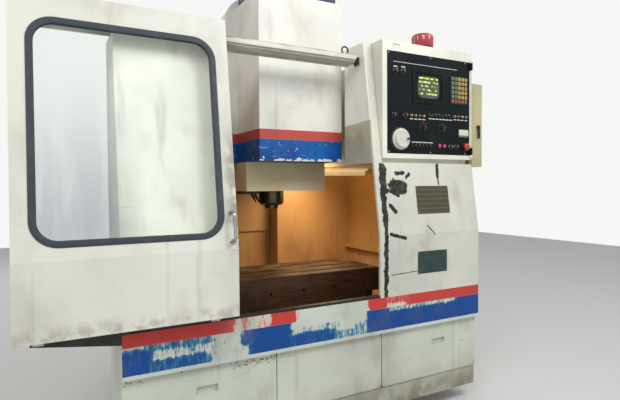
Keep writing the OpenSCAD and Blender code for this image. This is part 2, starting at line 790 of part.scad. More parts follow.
// Upper rail with a front lip, two grooves underneath and the rollers' ridge on top
module top_rail() color("whitesmoke") at_spindle() {
    y = rail_front;
    z0 = left_panel_top;
    z1 = rail_top_z;
    along_x(rail_left, rail_right, [[y, z1], [y, z1 - lip_h], [y + 12, z1 - lip_h - 6], [y + 12, z0 + 16],
        [y + 28, z0 + 10], [y + 34, z0 + 18], [y + 44, z0 + 18], [y + 48, z0 + 6], [y + 58, z0 + 6],
        [y + 62, z0 + 16], [y + 72, z0 + 16], [y + 76, z0], [y + rail_d, z0], [y + rail_d, z1]]);
    along_x(rail_left, rail_right, [[roller_y - 3, z1 - eps], [roller_y - 2, z1 + ridge_h],
        [roller_y + 2, z1 + ridge_h], [roller_y + 3, z1 - eps]]);
}

// Lower guide: a bar on the sill that runs on as a tapered arm under the open door
module lower_guide() color("dimgray") at_spindle() {
    translate([left_x, face_y + 4, sill_z]) cube([opening_x - left_x, 30, 12]);
    translate([0, face_y + 34, 0]) rotate([90, 0, 0]) linear_extrude(30)
        polygon([[left_x + eps, sill_z + 12], [rail_left - 20, sill_z + 12], [rail_left - 20, sill_z + 2],
            [left_x - slide_gap, sill_z - 42], [left_x - slide_gap, sill_z], [left_x + eps, sill_z]]);
}

// Brown steel bracket between the upper rail's end and the pillar
module rail_bracket() color("saddlebrown") at_spindle() {
    y = rail_front + 40;
    translate([rail_right, y, rail_top_z - 40]) cube([8, 44, 40]);
    translate([rail_right, y, rail_top_z - 8]) cube([rail_short + pillar_inset - slide_gap, 44, 8]);
    translate([opening_x + pillar_inset - 8 - slide_gap, y, rail_top_z - 40]) cube([8, 44, 40]);
}

// One lifting eye with its shank
module lifting_eye(x, y, z) translate([x, y, z]) {
    cylinder(h = 14, r = 12);
    translate([0, 0, eye_r + 10]) rotate([90, 0, 0]) rotate_extrude() translate([eye_r - eye_t / 2, 0]) circle(eye_t / 2, $fn = 24);
}

// Lifting eyes on the rail's end and on the column
module lifting_eyes() color("dimgray") at_spindle() {
    lifting_eye(rail_right - 34, rail_front + 60, rail_top_z);
    for (side = [-1, 1]) lifting_eye(side * (column_w / 2 - 60), base_rear - 80, column_z1);
}

// Work lamp under the upper housing
module work_lamp() color("lightyellow") at_spindle() {
    translate([zone_x - 260 - lamp_l / 2, 120, shelf_z - 14]) cube([lamp_l, 70, 14]);
    rod_x(zone_x - 260 - lamp_l / 2 + 15, zone_x - 260 + lamp_l / 2 - 15, 155, shelf_z - 14 - lamp_r + 6, lamp_r);
}

// Electrical cabinet on the back of the column, with two door fields
module electrical_cabinet() color("beige") at_spindle() {
    w = rear_box_w;
    h = rear_box_z1 - rear_box_z0;
    translate([-w / 2, base_rear, rear_box_z0]) cube([w, rear_box_d, h]);
    for (x = [-w / 2 + 20, 8])
        translate([x, base_rear + rear_box_d - eps, rear_box_z0 + 25]) cube([w / 2 - 28, 12, h - 50]);
    for (x = [-40, 22])
        translate([x, base_rear + rear_box_d + 12 - 2 * eps, rear_box_z0 + h / 2 - 60]) cube([18, 14, 120]);
}

// Box on the right side, open towards its own door, with two hinge pins
module side_box() color("tan") at_spindle() {
    y = box_y0 - 4;
    difference() {
        translate([right_x, y, side_box_z0]) cube([side_box_w, side_box_d, side_box_h]);
        translate([right_x + sheet_t, y + sheet_t, side_box_z0 + sheet_t])
            cube([side_box_w, side_box_d - 2 * sheet_t, side_box_h - 2 * sheet_t]);
    }
    for (z = [side_box_z0 + 45, side_box_z0 + side_box_h - 115]) {
        translate([right_x + side_box_w - 14, y + side_box_d - eps, z]) cube([23, 8, 14]);
        translate([right_x + side_box_w + 5, y + side_box_d + 4, z]) cylinder(h = 55, r = 4);
    }
}

// Box that holds the control panel, with its plinth and the hinge's fixed knuckles
module control_box() color("beige") at_spindle() {
    w = right_x - box_x0;
    h = front_top_z - box_z0;
    difference() {
        translate([box_x0, box_y0, box_z0]) cube([w, box_d, h]);
        translate([box_x0 + sheet_t, box_y0 + 16, box_z0 + sheet_t])
            cube([w - 2 * sheet_t, box_d - 16 - sheet_t, h - 2 * sheet_t]);
        translate([panel_x0 - panel_play, box_y0 - 1, panel_z0 - panel_play])
            cube([panel_w + 2 * panel_play, 20, panel_face_h + 2 * panel_play]);
        translate([panel_x0 + 38, box_y0 - 1, front_top_z - 32]) cube([48, 6, 18]);
    }
    translate([box_x0 + 20, box_y0 + 30, shelf_z]) cube([w - 40, box_d - 50, box_z0 - shelf_z + eps]);
    for (z = [panel_z0 - 10, panel_z0 + panel_face_h + panel_play]) {
        translate([panel_x1 + 8, box_y0 - knuckle_r - 1, z - 4]) cylinder(h = 14, r = knuckle_r);
        translate([panel_x1 + 8 - knuckle_r, box_y0 - knuckle_r, z - 4]) cube([2 * knuckle_r, knuckle_r + eps, 14]);
    }
    translate([panel_x1 + 8, box_y0 - knuckle_r - 1, panel_z0 - 1])
        cylinder(h = panel_face_h + panel_play + 2, r = 2.5);
}

// Round beacon on the control box
module beacon() color("crimson") at_spindle()
    translate([(box_x0 + right_x) / 2 + 4, box_y0 + 65, front_top_z]) {
        cylinder(h = 10, r = beacon_r - 6);
        translate([0, 0, 10 - eps]) cylinder(h = beacon_h - 18, r = beacon_r);
        translate([0, 0, beacon_h - 8 - 2 * eps]) cylinder(h = 8, r1 = beacon_r, r2 = beacon_r - 8);
    }

// Guide beam of the tool carousel, between the left wall and the back wall
module magazine_guide() color("gray") at_spindle() {
    x1 = -rear_cover_w / 2 - 6;
    translate([-zone_x + slide_gap, beam_y, beam_z]) cube([zone_x - slide_gap + x1, beam_d, beam_h]);
    translate([-zone_x + slide_gap, beam_y - 45, beam_z - 40]) cube([14, beam_d + 90, beam_h + 80]);
    translate([-zone_x + 14, beam_y + beam_d - eps, beam_z + beam_h - 14])
        cube([zone_x - 14 + x1, zone_back - beam_y - beam_d - slide_gap + eps, 14]);
}

// Saddle on the base's slideways, with the trough for the table's ball screw
module saddle() color("silver") at_spindle() translate([0, -table_rest, 0]) {
    trough = 2 * nut_r + 50;
    d = table_d;
    difference() {
        translate([-saddle_w / 2, -d / 2, saddle_z0]) cube([saddle_w, d, saddle_t]);
        translate([-saddle_w / 2 - 1, -trough / 2, x_screw_z - nut_r - 8]) cube([saddle_w + 2, trough, saddle_t]);
    }
    for (side = [-1, 1]) {
        translate([-saddle_w / 2, side * xway_y - xway_w / 2, saddle_z1 - eps])
            cube([saddle_w, xway_w, xway_h + eps]);
        for (edge = [way_x - way_w / 2 - 32, way_x + way_w / 2 + slide_gap])
            translate([side > 0 ? edge : -edge - 32 + slide_gap, -d / 2, saddle_z0 - 36])
                cube([32 - slide_gap, d, 36 + eps]);
    }
    for (x = [-saddle_w / 2, saddle_w / 2 - block_t]) difference() {
        translate([x, -trough / 2 - eps, x_screw_z - nut_r - 8 - eps])
            cube([block_t, trough + 2 * eps, saddle_z1 - x_screw_z + nut_r + 8]);
        rod_x(x - 1, x + block_t + 1, 0, x_screw_z, screw_r + bearing_gap);
    }
    difference() {
        translate([-nut_r - 12, -nut_l / 2, y_screw_z - nut_r])
            cube([2 * nut_r + 24, nut_l, saddle_z0 - y_screw_z + nut_r + eps]);
        rod_y(0, -nut_l / 2 - 1, nut_l / 2 + 1, y_screw_z, screw_r + slide_gap);
    }
}

// Motor of the table's ball screw
module x_motor() color("dimgray") at_spindle()
    translate([saddle_w / 2, -table_rest, x_screw_z]) rotate([0, 90, 0]) servo(motor_w, motor_l);

// Table with T-slots, tapped holes in its front and the ball nut's lug
module table() color("dimgray") at_spindle() translate([0, -table_rest, 0]) {
    h = table_z - table_z0;
    difference() {
        translate([-table_w / 2, -table_d / 2, table_z0]) cube([table_w, table_d, h]);
        for (k = [0 : slot_count - 1]) translate([-table_w / 2 - 1, (k - (slot_count - 1) / 2) * slot_pitch, 0]) {
            translate([0, -slot_w / 2, table_z - slot_neck]) cube([table_w + 2, slot_w, slot_neck + 1]);
            translate([0, -slot_foot_w / 2, table_z - slot_neck - slot_foot_h])
                cube([table_w + 2, slot_foot_w, slot_foot_h + eps]);
        }
        for (side = [-1, 1])
            translate([-table_w / 2 - 1, side * xway_y - xway_w / 2 - slide_gap, table_z0 - 1])
                cube([table_w + 2, xway_w + 2 * slide_gap, xway_h + 1 + slide_gap]);
        for (k = [0 : front_holes - 1])
            rod_y((k - (front_holes - 1) / 2) * hole_pitch, -table_d / 2 - 1, -table_d / 2 + hole_deep,
                table_z - hole_down, hole_r);
    }
    difference() {
        translate([-nut_l / 2, -nut_r - 8, x_screw_z - nut_r]) cube([nut_l, 2 * nut_r + 16, table_z0 - x_screw_z + nut_r + eps]);
        rod_x(-nut_l / 2 - 1, nut_l / 2 + 1, 0, x_screw_z, screw_r + slide_gap);
    }
}

// Ball screw of the saddle
module y_screw() color("silver") at_spindle() rod_y(0, -300 - block_t + 1, 300 + block_t - 1, y_screw_z, screw_r);

// Ball screw of the table
module x_screw() color("silver") at_spindle()
    rod_x(-saddle_w / 2 + 1, saddle_w / 2 - 1, -table_rest, x_screw_z, screw_r);

// Ball screw of the head
module z_screw() color("silver") at_spindle()
    translate([0, z_screw_y, z_block_z + 1]) cylinder(h = z_block_span - 2, r = screw_r);

// Head casting: the spindle's housing in front and the upright slide behind
module head_casting() color("gainsboro") at_spindle() {
    slide_y = zway_y - slide_gap;
    difference() {
        union() {
            translate([-head_w / 2, -head_front, head_z0]) cube([head_w, head_front + 390, cover_z0 - head_z0]);
            translate([-casting_w / 2, -head_front + 40, cover_z0 - eps])
                cube([casting_w, head_front + 350, casting_z1 - cover_z0]);
            translate([-zway_x - zway_w / 2, 380, slide_z0])
                cube([2 * zway_x + zway_w, slide_y - 380, casting_z1 - slide_z0]);
        }
        translate([0, 0, head_z0 - 1]) cylinder(h = 452, r = cartridge_r - 4 + bearing_gap);
        translate([0, 0, head_z0 + 450]) cylinder(h = casting_z1 - head_z0, r = shaft_r + 5);
        translate([-70, slide_y - 60, slide_z0 - 1]) cube([140, 61, casting_z1 - slide_z0 + 2]);
    }
    half = zway_x + zway_w / 2;
    for (side = [-1, 1]) {
        translate([side > 0 ? half + slide_gap : -half - 14, slide_y - 40, slide_z0])
            cube([14 - slide_gap, 75, casting_z1 - slide_z0]);
        translate([side > 0 ? half - eps : -half - 14, slide_y - 40, slide_z0])
            cube([14 + eps, 40, casting_z1 - slide_z0]);
    }
    difference() {
        translate([-50, slide_y - 60 - eps, nut_z - nut_l / 2]) cube([100, z_screw_y - slide_y + 60 + nut_r - 1, nut_l]);
        translate([0, z_screw_y, nut_z - nut_l / 2 - 1]) cylinder(h = nut_l + 2, r = screw_r + slide_gap);
    }
}

// Striped sheet cover over the front of the head, open at the back
module head_cover() color("whitesmoke") at_spindle() difference() {
    translate([-head_w / 2, -cover_front, cover_z0]) cube([head_w, cover_front - cover_back, cover_z1 - cover_z0]);
    translate([-head_w / 2 + sheet_t, -cover_front + sheet_t, cover_z0 + sheet_t])
        cube([head_w - 2 * sheet_t, cover_front, cover_z1 - cover_z0 - 2 * sheet_t]);
    translate([-head_w / 2 + sheet_t, -head_front - 1, cover_z0 - 1]) cube([head_w - 2 * sheet_t, cover_front, 6]);
}

// The rear cover's outline from the front: a tall field with rounded upper corners
module rear_outline(w, h, r) {
    square([w, h - r]);
    translate([r, 0]) square([w - 2 * r, h]);
    for (x = [r, w - r]) translate([x, h - r]) circle(r, $fn = 96);
}

// Wider cover over the back of the head, with rounded upper corners
module head_rear_cover() color("whitesmoke") at_spindle() {
    w = rear_cover_w;
    h = rear_cover_z1 - cover_z0;
    slide_half = zway_x + zway_w / 2 + 16;
    difference() {
        translate([-w / 2, rear_cover_back, cover_z0]) rotate([90, 0, 0])
            linear_extrude(rear_cover_back + cover_back) rear_outline(w, h, rear_cover_r);
        translate([-w / 2 + sheet_t, rear_cover_back - sheet_t, cover_z0 + sheet_t]) rotate([90, 0, 0])
            linear_extrude(rear_cover_back + cover_back - 2 * sheet_t)
                rear_outline(w - 2 * sheet_t, h - 2 * sheet_t, rear_cover_r - sheet_t);
        translate([-casting_w / 2 - 5, -cover_back - 1, cover_z0 - 1])
            cube([casting_w + 10, sheet_t + 2, cover_z1 - cover_z0 - 40]);
        translate([-slide_half, -cover_back + sheet_t, cover_z0 - 1])
            cube([2 * slide_half, rear_cover_back + cover_back, sheet_t + 2]);
        translate([-slide_half, rear_cover_back - sheet_t - 1, cover_z0 - 1])
            cube([2 * slide_half, sheet_t + 2, casting_z1 - cover_z0 + 6]);
    }
}

// Spindle motor in the front bay, with its casing on top of the striped cover
module spindle_motor() color("midnightblue") at_spindle() {
    y0 = -cover_front + 40;
    l = cover_front - cover_back - 50;
    translate([-casing_w / 2, y0, cover_z1]) cube([casing_w, l, casing_h - 20]);
    translate([-casing_w / 2 + 12, y0 + 12, cover_z1 + casing_h - 20 - eps]) cube([casing_w - 24, l - 24, 20]);
    for (k = [0 : 7])
        translate([-casing_w / 2 + 45 + k * 54, y0 - 4, cover_z1 + 20]) cube([24, 5, casing_h - 60]);
}

// Spindle cartridge with its flange under the head
module spindle_cartridge() color("dimgray") at_spindle() difference() {
    union() {
        translate([0, 0, cartridge_z]) cylinder(h = 14, r1 = cartridge_r - 14, r2 = cartridge_r);
        translate([0, 0, cartridge_z + 14 - eps]) cylinder(h = head_z0 - cartridge_z - 14 + eps, r = cartridge_r);
        translate([0, 0, head_z0 - eps]) cylinder(h = 430, r = cartridge_r - 4);
    }
    translate([0, 0, cartridge_z - 1]) cylinder(h = 13 + slide_gap, r = nose_r + slide_gap);
    translate([0, 0, cartridge_z]) cylinder(h = 600, r = shaft_r + bearing_gap);
}

// Sliding cover plate under the head's upright slide
module z_way_cover() color("tan") at_spindle() {
    y = zone_back + channel_d - 18;
    w = 2 * channel_x - 14;
    translate([-w / 2, y, 940]) cube([w, sheet_t, slide_z0 - 940]);
    translate([-w / 2, y, slide_z0 - 20]) cube([w, 15, 20 - slide_gap]);
}

// Coolant block with two nozzles under the head, beside the spindle
module coolant_nozzles() color("dimgray") at_spindle() {
    translate([-216, -45, head_z0 - 18]) cube([116, 90, 18]);
    for (y = [-26, 26]) translate([-125, y, head_z0 - 18 + eps]) rotate([0, 150, 0]) {
        cylinder(h = 34, r = 8);
        translate([0, 0, 34 - eps]) cylinder(h = 30, r1 = 7, r2 = 3.5);
    }
}

// Turning spindle with the tool taper in its nose and two drive keys
module spindle() color("silver") at_spindle() difference() {
    union() {
        translate([0, 0, nose_z]) cylinder(h = cartridge_z + 12 - nose_z, r = nose_r);
        translate([0, 0, nose_z + 1]) cylinder(h = casting_z1 - 60 - nose_z, r = shaft_r);
        for (side = [-1, 1]) translate([side * 34 - 7, -8, nose_z - 6]) cube([14, 16, 7]);
    }
    translate([0, 0, nose_z - eps]) cylinder(h = taper_d, r1 = taper_r, r2 = taper_r - taper_d * 7 / 48);
    translate([0, 0, nose_z]) cylinder(h = casting_z1, r = drawbar_r);
}

// Carriage that carries the tool carousel along its guide
module magazine_carriage() color("gray") at_spindle() {
    x0 = -zone_x + 20;
    g = slide_gap;
    translate([x0, beam_y - 22 - g, beam_z - 14 - g]) cube([400, 22, beam_h + 28 + 2 * g]);
    for (z = [beam_z - 14 - g, beam_z + beam_h + g])
        translate([x0, beam_y - 22 - g, z]) cube([400, beam_d + 22 + g, 14]);
    difference() {
        translate([carousel_x - 55, -60, carriage_z]) cube([110, beam_y + 60 - 22 - g + eps, 56]);
        translate([carousel_x, 0, carriage_z - 1]) cylinder(h = 53, r = 18 + bearing_gap);
    }
    translate([carousel_x, 0, carriage_z + 56 - eps]) cylinder(h = 46, r = 46);
}

// Tool carousel: a disc with open pockets, a rim under them and its shaft
module magazine_drum() color("silver") at_spindle() translate([carousel_x, 0, 0]) {
    difference() {
        translate([0, 0, disc_z]) cylinder(h = disc_t, r = disc_r, $fn = 96);
        for (k = [0 : pocket_count - 1]) rotate([0, 0, k * 360 / pocket_count]) translate([0, 0, disc_z - 1]) {
            translate([pocket_circle, 0, 0]) cylinder(h = disc_t + 2, r = pocket_w / 2);
            translate([pocket_circle, -pocket_w / 2, 0]) cube([60, pocket_w, disc_t + 2]);
        }
        translate([0, 0, disc_z - 1]) for (k = [0 : 5]) rotate([0, 0, k * 60 + 15])
            translate([130, 0, 0]) cylinder(h = disc_t + 2, r = 28);
    }
    translate([0, 0, disc_z + disc_t - eps]) cylinder(h = 50, r = 18);
    translate([0, 0, disc_z - 14]) cylinder(h = 14 + eps, r = 60);
}

// Pressed door with folded edges, the window's cut-out and the rollers' brackets
module door_panel() color("whitesmoke") at_spindle() {
    cut = seal_w - 8;
    difference() {
        bent_sheet(door_x, door_x + door_w, door_face, door_z0, door_z1, door_t);
        bent_sheet(door_x + sheet_t, door_x + door_w - sheet_t, door_face + sheet_t, door_z0 + sheet_t,
            door_z1 - sheet_t, door_t);
        tipped(door_face) upright_plate(seal_x + cut, -1, window_low + cut, seal_len - 2 * cut,
            window_h - 2 * cut, window_r - cut, door_t);
    }
    for (x = [door_x + roller_in, door_x + door_w - roller_in]) {
        translate([x - 30, door_face + lean_y(roller_z) + 1, roller_z - 16])
            cube([60, roller_y - roller_w / 2 - 7 - door_face - lean_y(roller_z), 6]);
        translate([x - 30, roller_y - roller_w / 2 - 10, roller_z - 16]) cube([60, 4, 30]);
        rod_y(x, roller_y - roller_w / 2 - 10, roller_y + roller_w / 2 + 4, roller_z, 6);
    }
    for (x = [door_x + 60, door_x + door_w - 100]) {
        translate([x, door_back - 4, door_z0]) cube([40, face_y + 42 - door_back, 4]);
        for (y = [face_y + 1, face_y + 36])
            translate([x, y, sill_z + 4]) cube([40, 2, door_z0 - sill_z - 4 + eps]);
    }
}

// Rubber seal round the window
module door_seal() color("darkslategray") at_spindle() tipped(door_face) difference() {
    union() {
        upright_plate(seal_x, -seal_out, window_low, seal_len, window_h, window_r, seal_out);
        upright_plate(seal_x + seal_w - 8 + slide_gap, -eps, window_low + seal_w - 8 + slide_gap,
            seal_len - 2 * (seal_w - 8 + slide_gap), window_h - 2 * (seal_w - 8 + slide_gap),
            window_r - seal_w + 8 - slide_gap, 16);
    }
    upright_plate(seal_x + seal_w, -seal_out - 1, window_low + seal_w, seal_len - 2 * seal_w,
        window_h - 2 * seal_w, window_r - seal_w, 40);
    upright_plate(seal_x + seal_w - 5, 4, window_low + seal_w - 5, seal_len - 2 * seal_w + 10,
        window_h - 2 * seal_w + 10, window_r - seal_w + 5, pane_t);
}

// Clear window pane, held in the seal's groove
module door_pane() color("lightblue", 0.4) at_spindle() tipped(door_face)
    upright_plate(seal_x + seal_w - 4, 4 + 0.1, window_low + seal_w - 4, seal_len - 2 * seal_w + 8,
        window_h - 2 * seal_w + 8, window_r - seal_w + 4, pane_t - 0.2);

// Chrome handle: a bar on two feet
module door_handle() color("silver") at_spindle() tipped(door_face) {
    x = door_x + door_w - handle_in;
    z = handle_up;
    for (s = [z + 12, z + handle_h - 12]) {
        rod_y(x, -handle_out + handle_bar / 2, 0, s, handle_bar / 2);
        rod_y(x, -5, 0, s, handle_bar);
    }
    translate([x, -handle_out + handle_bar / 2, z]) cylinder(h = handle_h, r = handle_bar / 2);
    for (s = [z, z + handle_h]) translate([x, -handle_out + handle_bar / 2, s]) sphere(handle_bar / 2);
}

// One grooved roller on its pin
module roller(x) difference() {
    rod_y(x, roller_y - roller_w / 2, roller_y + roller_w / 2, roller_z, roller_r);
    rod_y(x, roller_y - roller_w, roller_y + roller_w, roller_z, 6 + bearing_gap);
}

// Left roller of the door
module door_roller_left() color("silver") at_spindle() roller(door_x + roller_in);

// Right roller of the door
module door_roller_right() color("silver") at_spindle() roller(door_x + door_w - roller_in);

// A point on the control panel, counted from its lower left corner
module on_panel(x, z) translate([panel_x0 + x, panel_y0, panel_z0 + z]) rotate([90, 0, 0]) children();

// Black control panel with its switch rows, lamps and hinge straps
module control_panel() color("black") at_spindle() {
    difference() {
        translate([panel_x0, panel_y0, panel_z0]) cube([panel_w, panel_t, panel_face_h]);
        on_panel(screen_x - screen_w / 2 - slide_gap, screen_z - screen_h / 2 - slide_gap) translate([0, 0, -panel_t - 1])
            cube([screen_w + 2 * slide_gap, screen_h + 2 * slide_gap, panel_t + 2]);
        for (p = [[wheel_x, wheel_z], [feed_x, dial_z], [mode_x, dial_z], [start_x, button_z], [stop_x, button_z],
            [estop_x, button_z]])
            on_panel(p[0], p[1]) translate([0, 0, -panel_t - 1]) cylinder(h = panel_t + 2, r = 5 + bearing_gap);
    }
    for (p = [[55, 446], [108, 448], [44, 208], [124, 208], [459, 46], [503, 47]])
        on_panel(p[0], p[1]) cylinder(h = 12, r = 12);
    for (k = [0 : 3]) on_panel(166 + k * 30, 212) cylinder(h = 4, r = 7, $fn = 24);
    for (k = [0 : 6]) on_panel(302 + k * 26, 222) {
        cylinder(h = 4, r = 6, $fn = 24);
        cylinder(h = 18, r = 2.5, $fn = 16);
    }
    for (k = [0 : 3]) on_panel(492 + k * 30, 225) cylinder(h = 4, r = 6, $fn = 24);
    for (k = [0 : 5]) on_panel(180 + k * 26, 48) cylinder(h = 7, r = 8, $fn = 24);
    for (z = [panel_z0 + 4, panel_z0 + panel_face_h - 44]) difference() {
        union() {
            translate([panel_x1 - 11, panel_y0 - 3, z]) cube([19, 3 + eps, 40]);
            translate([panel_x1 + 8, box_y0 - knuckle_r - 1, z]) cylinder(h = 40, r = knuckle_r);
        }
        translate([panel_x1 + 8, box_y0 - knuckle_r - 1, z - 1]) cylinder(h = 42, r = 2.5 + bearing_gap);
    }
}

// Screen with its bezel and the tube's housing
module screen() color("darkslategray") at_spindle() {
    on_panel(screen_x, screen_z) {
        difference() {
            translate([-screen_w / 2, -screen_h / 2, -panel_t]) cube([screen_w, screen_h, panel_t + 3]);
            translate([-screen_w / 2 + 20, -screen_h / 2 + 18, -1]) cube([screen_w - 40, screen_h - 36, 6]);
        }
        translate([-screen_w / 2 + 10, -screen_h / 2 + 10, -panel_t - 40])
            cube([screen_w - 20, screen_h - 20, 40 + eps]);
        translate([-screen_w / 4, -screen_h / 4, -panel_t - screen_d])
            cube([screen_w / 2, screen_h / 2, screen_d - 40 + eps]);
    }
}

// Keys on their common plate
module keypad() color("goldenrod") at_spindle() on_panel(key_x, key_z) {
    translate([-5, -5, 0]) cube([key_cols * key_pitch + 2, key_rows * key_pitch + 2, 2]);
    for (i = [0 : key_cols - 1], j = [0 : key_rows - 1])
        translate([i * key_pitch, j * key_pitch, 2 - eps]) cube([key_w, key_w, 5]);
}

// A control's stem through the panel
module stem(r) translate([0, 0, -panel_t - 8]) cylinder(h = panel_t + 8.3 + slide_gap, r = r);

// Handwheel with its crank knob
module handwheel() color("whitesmoke") at_spindle() on_panel(wheel_x, wheel_z) {
    stem(5);
    translate([0, 0, slide_gap]) cylinder(h = wheel_t * 0.45, r = wheel_r);
    translate([0, 0, slide_gap + wheel_t * 0.45 - eps]) cylinder(h = wheel_t * 0.55, r1 = wheel_r * 0.82, r2 = wheel_r * 0.76);
    translate([wheel_r * 0.55, 0, wheel_t]) cylinder(h = 20, r = 7);
}

// A pointer dial
module dial() {
    stem(5);
    translate([0, 0, slide_gap]) cylinder(h = 6, r = dial_r);
    translate([0, 0, 6]) cylinder(h = 12, r = dial_r * 0.62);
    translate([-2, 0, 6]) cube([4, dial_r * 0.9, 13]);
}

// Feed dial
module feed_dial() color("dimgray") at_spindle() on_panel(feed_x, dial_z) dial();

// Mode dial
module mode_dial() color("dimgray") at_spindle() on_panel(mode_x, dial_z) dial();

// Mushroom head of the emergency stop, with room to be pushed in
module emergency_stop() color("crimson") at_spindle() on_panel(estop_x, button_z) {
    translate([0, 0, -panel_t - 8]) cylinder(h = panel_t + 8 + estop_travel + 10, r = 5);
    translate([0, 0, estop_travel + 1]) cylinder(h = 8, r1 = stop_r * 0.7, r2 = stop_r);
    translate([0, 0, estop_travel + 9 - eps]) cylinder(h = 9, r1 = stop_r, r2 = stop_r * 0.72);
}

// A push button that stands out by more than its travel
module push_button() {
    translate([0, 0, -panel_t - 8]) cylinder(h = panel_t + 8 + button_travel + 2, r = 5);
    translate([0, 0, button_travel + 0.5]) cylinder(h = 6, r = button_r);
}

// Start button
module start_button() color("mediumvioletred") at_spindle() on_panel(start_x, button_z) push_button();

// Stop button
module stop_button() color("mediumvioletred") at_spindle() on_panel(stop_x, button_z) push_button();

// Door of the side box, on its two hinge pins
module side_box_door() color("tan") at_spindle() {
    x = right_x + side_box_w + 1;
    y = box_y0 - 4;
    translate([x, y + 2, side_box_z0 + 2]) cube([sheet_t, side_box_d - 4, side_box_h - 4]);
    for (z = [side_box_z0 + 62, side_box_z0 + side_box_h - 98]) difference() {
        union() {
            translate([x + 4, y + side_box_d + 4, z]) cylinder(h = 28, r = 6);
            translate([x, y + side_box_d - 6, z]) cube([sheet_t, 10, 28]);
        }
        translate([x + 4, y + side_box_d + 4, z - 1]) cylinder(h = 30, r = 4 + bearing_gap);
    }
}

// Turning latch on the side box's front
module side_box_latch() color("dimgray") at_spindle() {
    x = right_x + side_box_w * 0.55;
    y = box_y0 - 4;
    z = side_box_z0 + side_box_h / 2 - 10;
    rod_y(x, y - 10, y - slide_gap, z, 9);
    translate([x - 7, y - 16, z - latch_l + 10]) cube([14, 7, latch_l]);
}

base_casting();
levelling_pads();
column();
axis_motors();
chip_tray();
front_cover();
lower_panel_left();
lower_panel_middle();
lower_panel_right();
toe_strip();
left_front_panel();
right_cabinet();
upper_housing();
side_wall_left();
side_wall_right();
rear_guard();
top_rail();
lower_guide();
rail_bracket();
lifting_eyes();
work_lamp();
electrical_cabinet();
side_box();
control_box();
beacon();
magazine_guide();
saddle();
x_motor();
table();
y_screw();
x_screw();
z_screw();
head_casting();
head_cover();
head_rear_cover();
spindle_motor();
spindle_cartridge();
z_way_cover();
coolant_nozzles();
spindle();
magazine_carriage();
magazine_drum();
door_panel();
door_seal();
door_pane();
door_handle();
door_roller_left();
door_roller_right();
control_panel();
screen();
keypad();
handwheel();
feed_dial();
mode_dial();
emergency_stop();
start_button();
stop_button();
side_box_door();
side_box_latch();
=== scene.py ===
"""Looks of a vertical machining centre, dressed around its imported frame."""

import logging
import math
from dataclasses import dataclass, field
from enum import Enum

import bmesh
import bpy
import numpy as np
from mathutils import Matrix, Vector


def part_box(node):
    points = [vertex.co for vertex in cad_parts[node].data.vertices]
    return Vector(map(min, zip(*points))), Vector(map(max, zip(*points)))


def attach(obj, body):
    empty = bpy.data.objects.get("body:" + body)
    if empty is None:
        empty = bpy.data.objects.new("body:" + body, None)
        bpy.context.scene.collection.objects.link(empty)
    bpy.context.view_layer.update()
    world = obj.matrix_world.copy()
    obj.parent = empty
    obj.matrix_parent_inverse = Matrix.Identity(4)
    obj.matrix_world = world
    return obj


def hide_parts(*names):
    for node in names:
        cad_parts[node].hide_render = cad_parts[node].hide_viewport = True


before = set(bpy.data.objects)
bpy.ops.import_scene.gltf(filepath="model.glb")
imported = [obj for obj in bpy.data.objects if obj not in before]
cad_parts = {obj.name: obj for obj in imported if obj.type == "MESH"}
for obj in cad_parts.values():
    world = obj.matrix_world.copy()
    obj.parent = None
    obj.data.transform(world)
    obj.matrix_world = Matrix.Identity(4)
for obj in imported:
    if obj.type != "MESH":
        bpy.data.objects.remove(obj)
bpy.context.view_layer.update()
LOG = logging.getLogger("machining_centre")

MM = 0.001
TURN = 2 * math.pi
SPINDLE_Y = -0.250
FACE_Y = SPINDLE_Y - 0.800
BEND_Z = 1.015
LEAN = math.radians(8.3)

Colour = tuple[float, float, float]
Point = tuple[float, float, float]
Spot = tuple[float, float]
Surface = tuple[np.ndarray, np.ndarray]
Material = bpy.types.Material
Socket = bpy.types.NodeSocket


def srgb(red: int, green: int, blue: int) -> Colour:
    """Turns a colour of 0 to 255 into linear light.

    Args:
        red: Red part.
        green: Green part.
        blue: Blue part.

    Returns:
        Linear light: ((c / 255 + 0.055) / 1.055) to the power 2.4.
    """
    return tuple(((c / 255 + 0.055) / 1.055) ** 2.4 for c in (red, green, blue))


def dim(colour: Colour, share: float) -> Colour:
    """Darker colour: each part times the share."""
    return tuple(part * share for part in colour)


CREAM = srgb(214, 203, 176)
# Tan of the work zone: partly its own yellowed paint, partly painted warm light of the work lamp.
LAMP_WARMED_TAN = srgb(200, 158, 106)
RED = srgb(196, 62, 58)
THIN_RED = srgb(226, 128, 120)
BLUE = srgb(0, 68, 142)
THIN_BLUE = srgb(56, 128, 156)
CHIP = srgb(26, 25, 23)
GRIME = srgb(120, 108, 88)


class Axis(Enum):
    """Axis about which a turned shape is revolved."""

    X = 0
    Y = 1
    Z = 2

    def places(self, along: np.ndarray, cosine: np.ndarray, sine: np.ndarray) -> np.ndarray:
        """Places of a shape that is turned about the axis.

        Args:
            along: Their part along the axis.
            cosine: Their first part across it.
            sine: Their second part across it.

        Returns:
            Rows of (x, y, z).
        """
        order = {Axis.X: (along, cosine, sine), Axis.Y: (sine, along, cosine),
                 Axis.Z: (cosine, sine, along)}
        return np.stack(order[self], axis=-1).reshape(-1, 3)


class Body(Enum):
    """Moving groups of the frame that new pieces ride on."""

    MACHINE = "machine"
    DOOR = "door"
    PANEL = "panel"
    HEAD = "head"
    HANDWHEEL = "handwheel"
    STOP = "emergency_stop"
    X_SCREW = "x_screw"
    Y_SCREW = "y_screw"
    Z_SCREW = "z_screw"


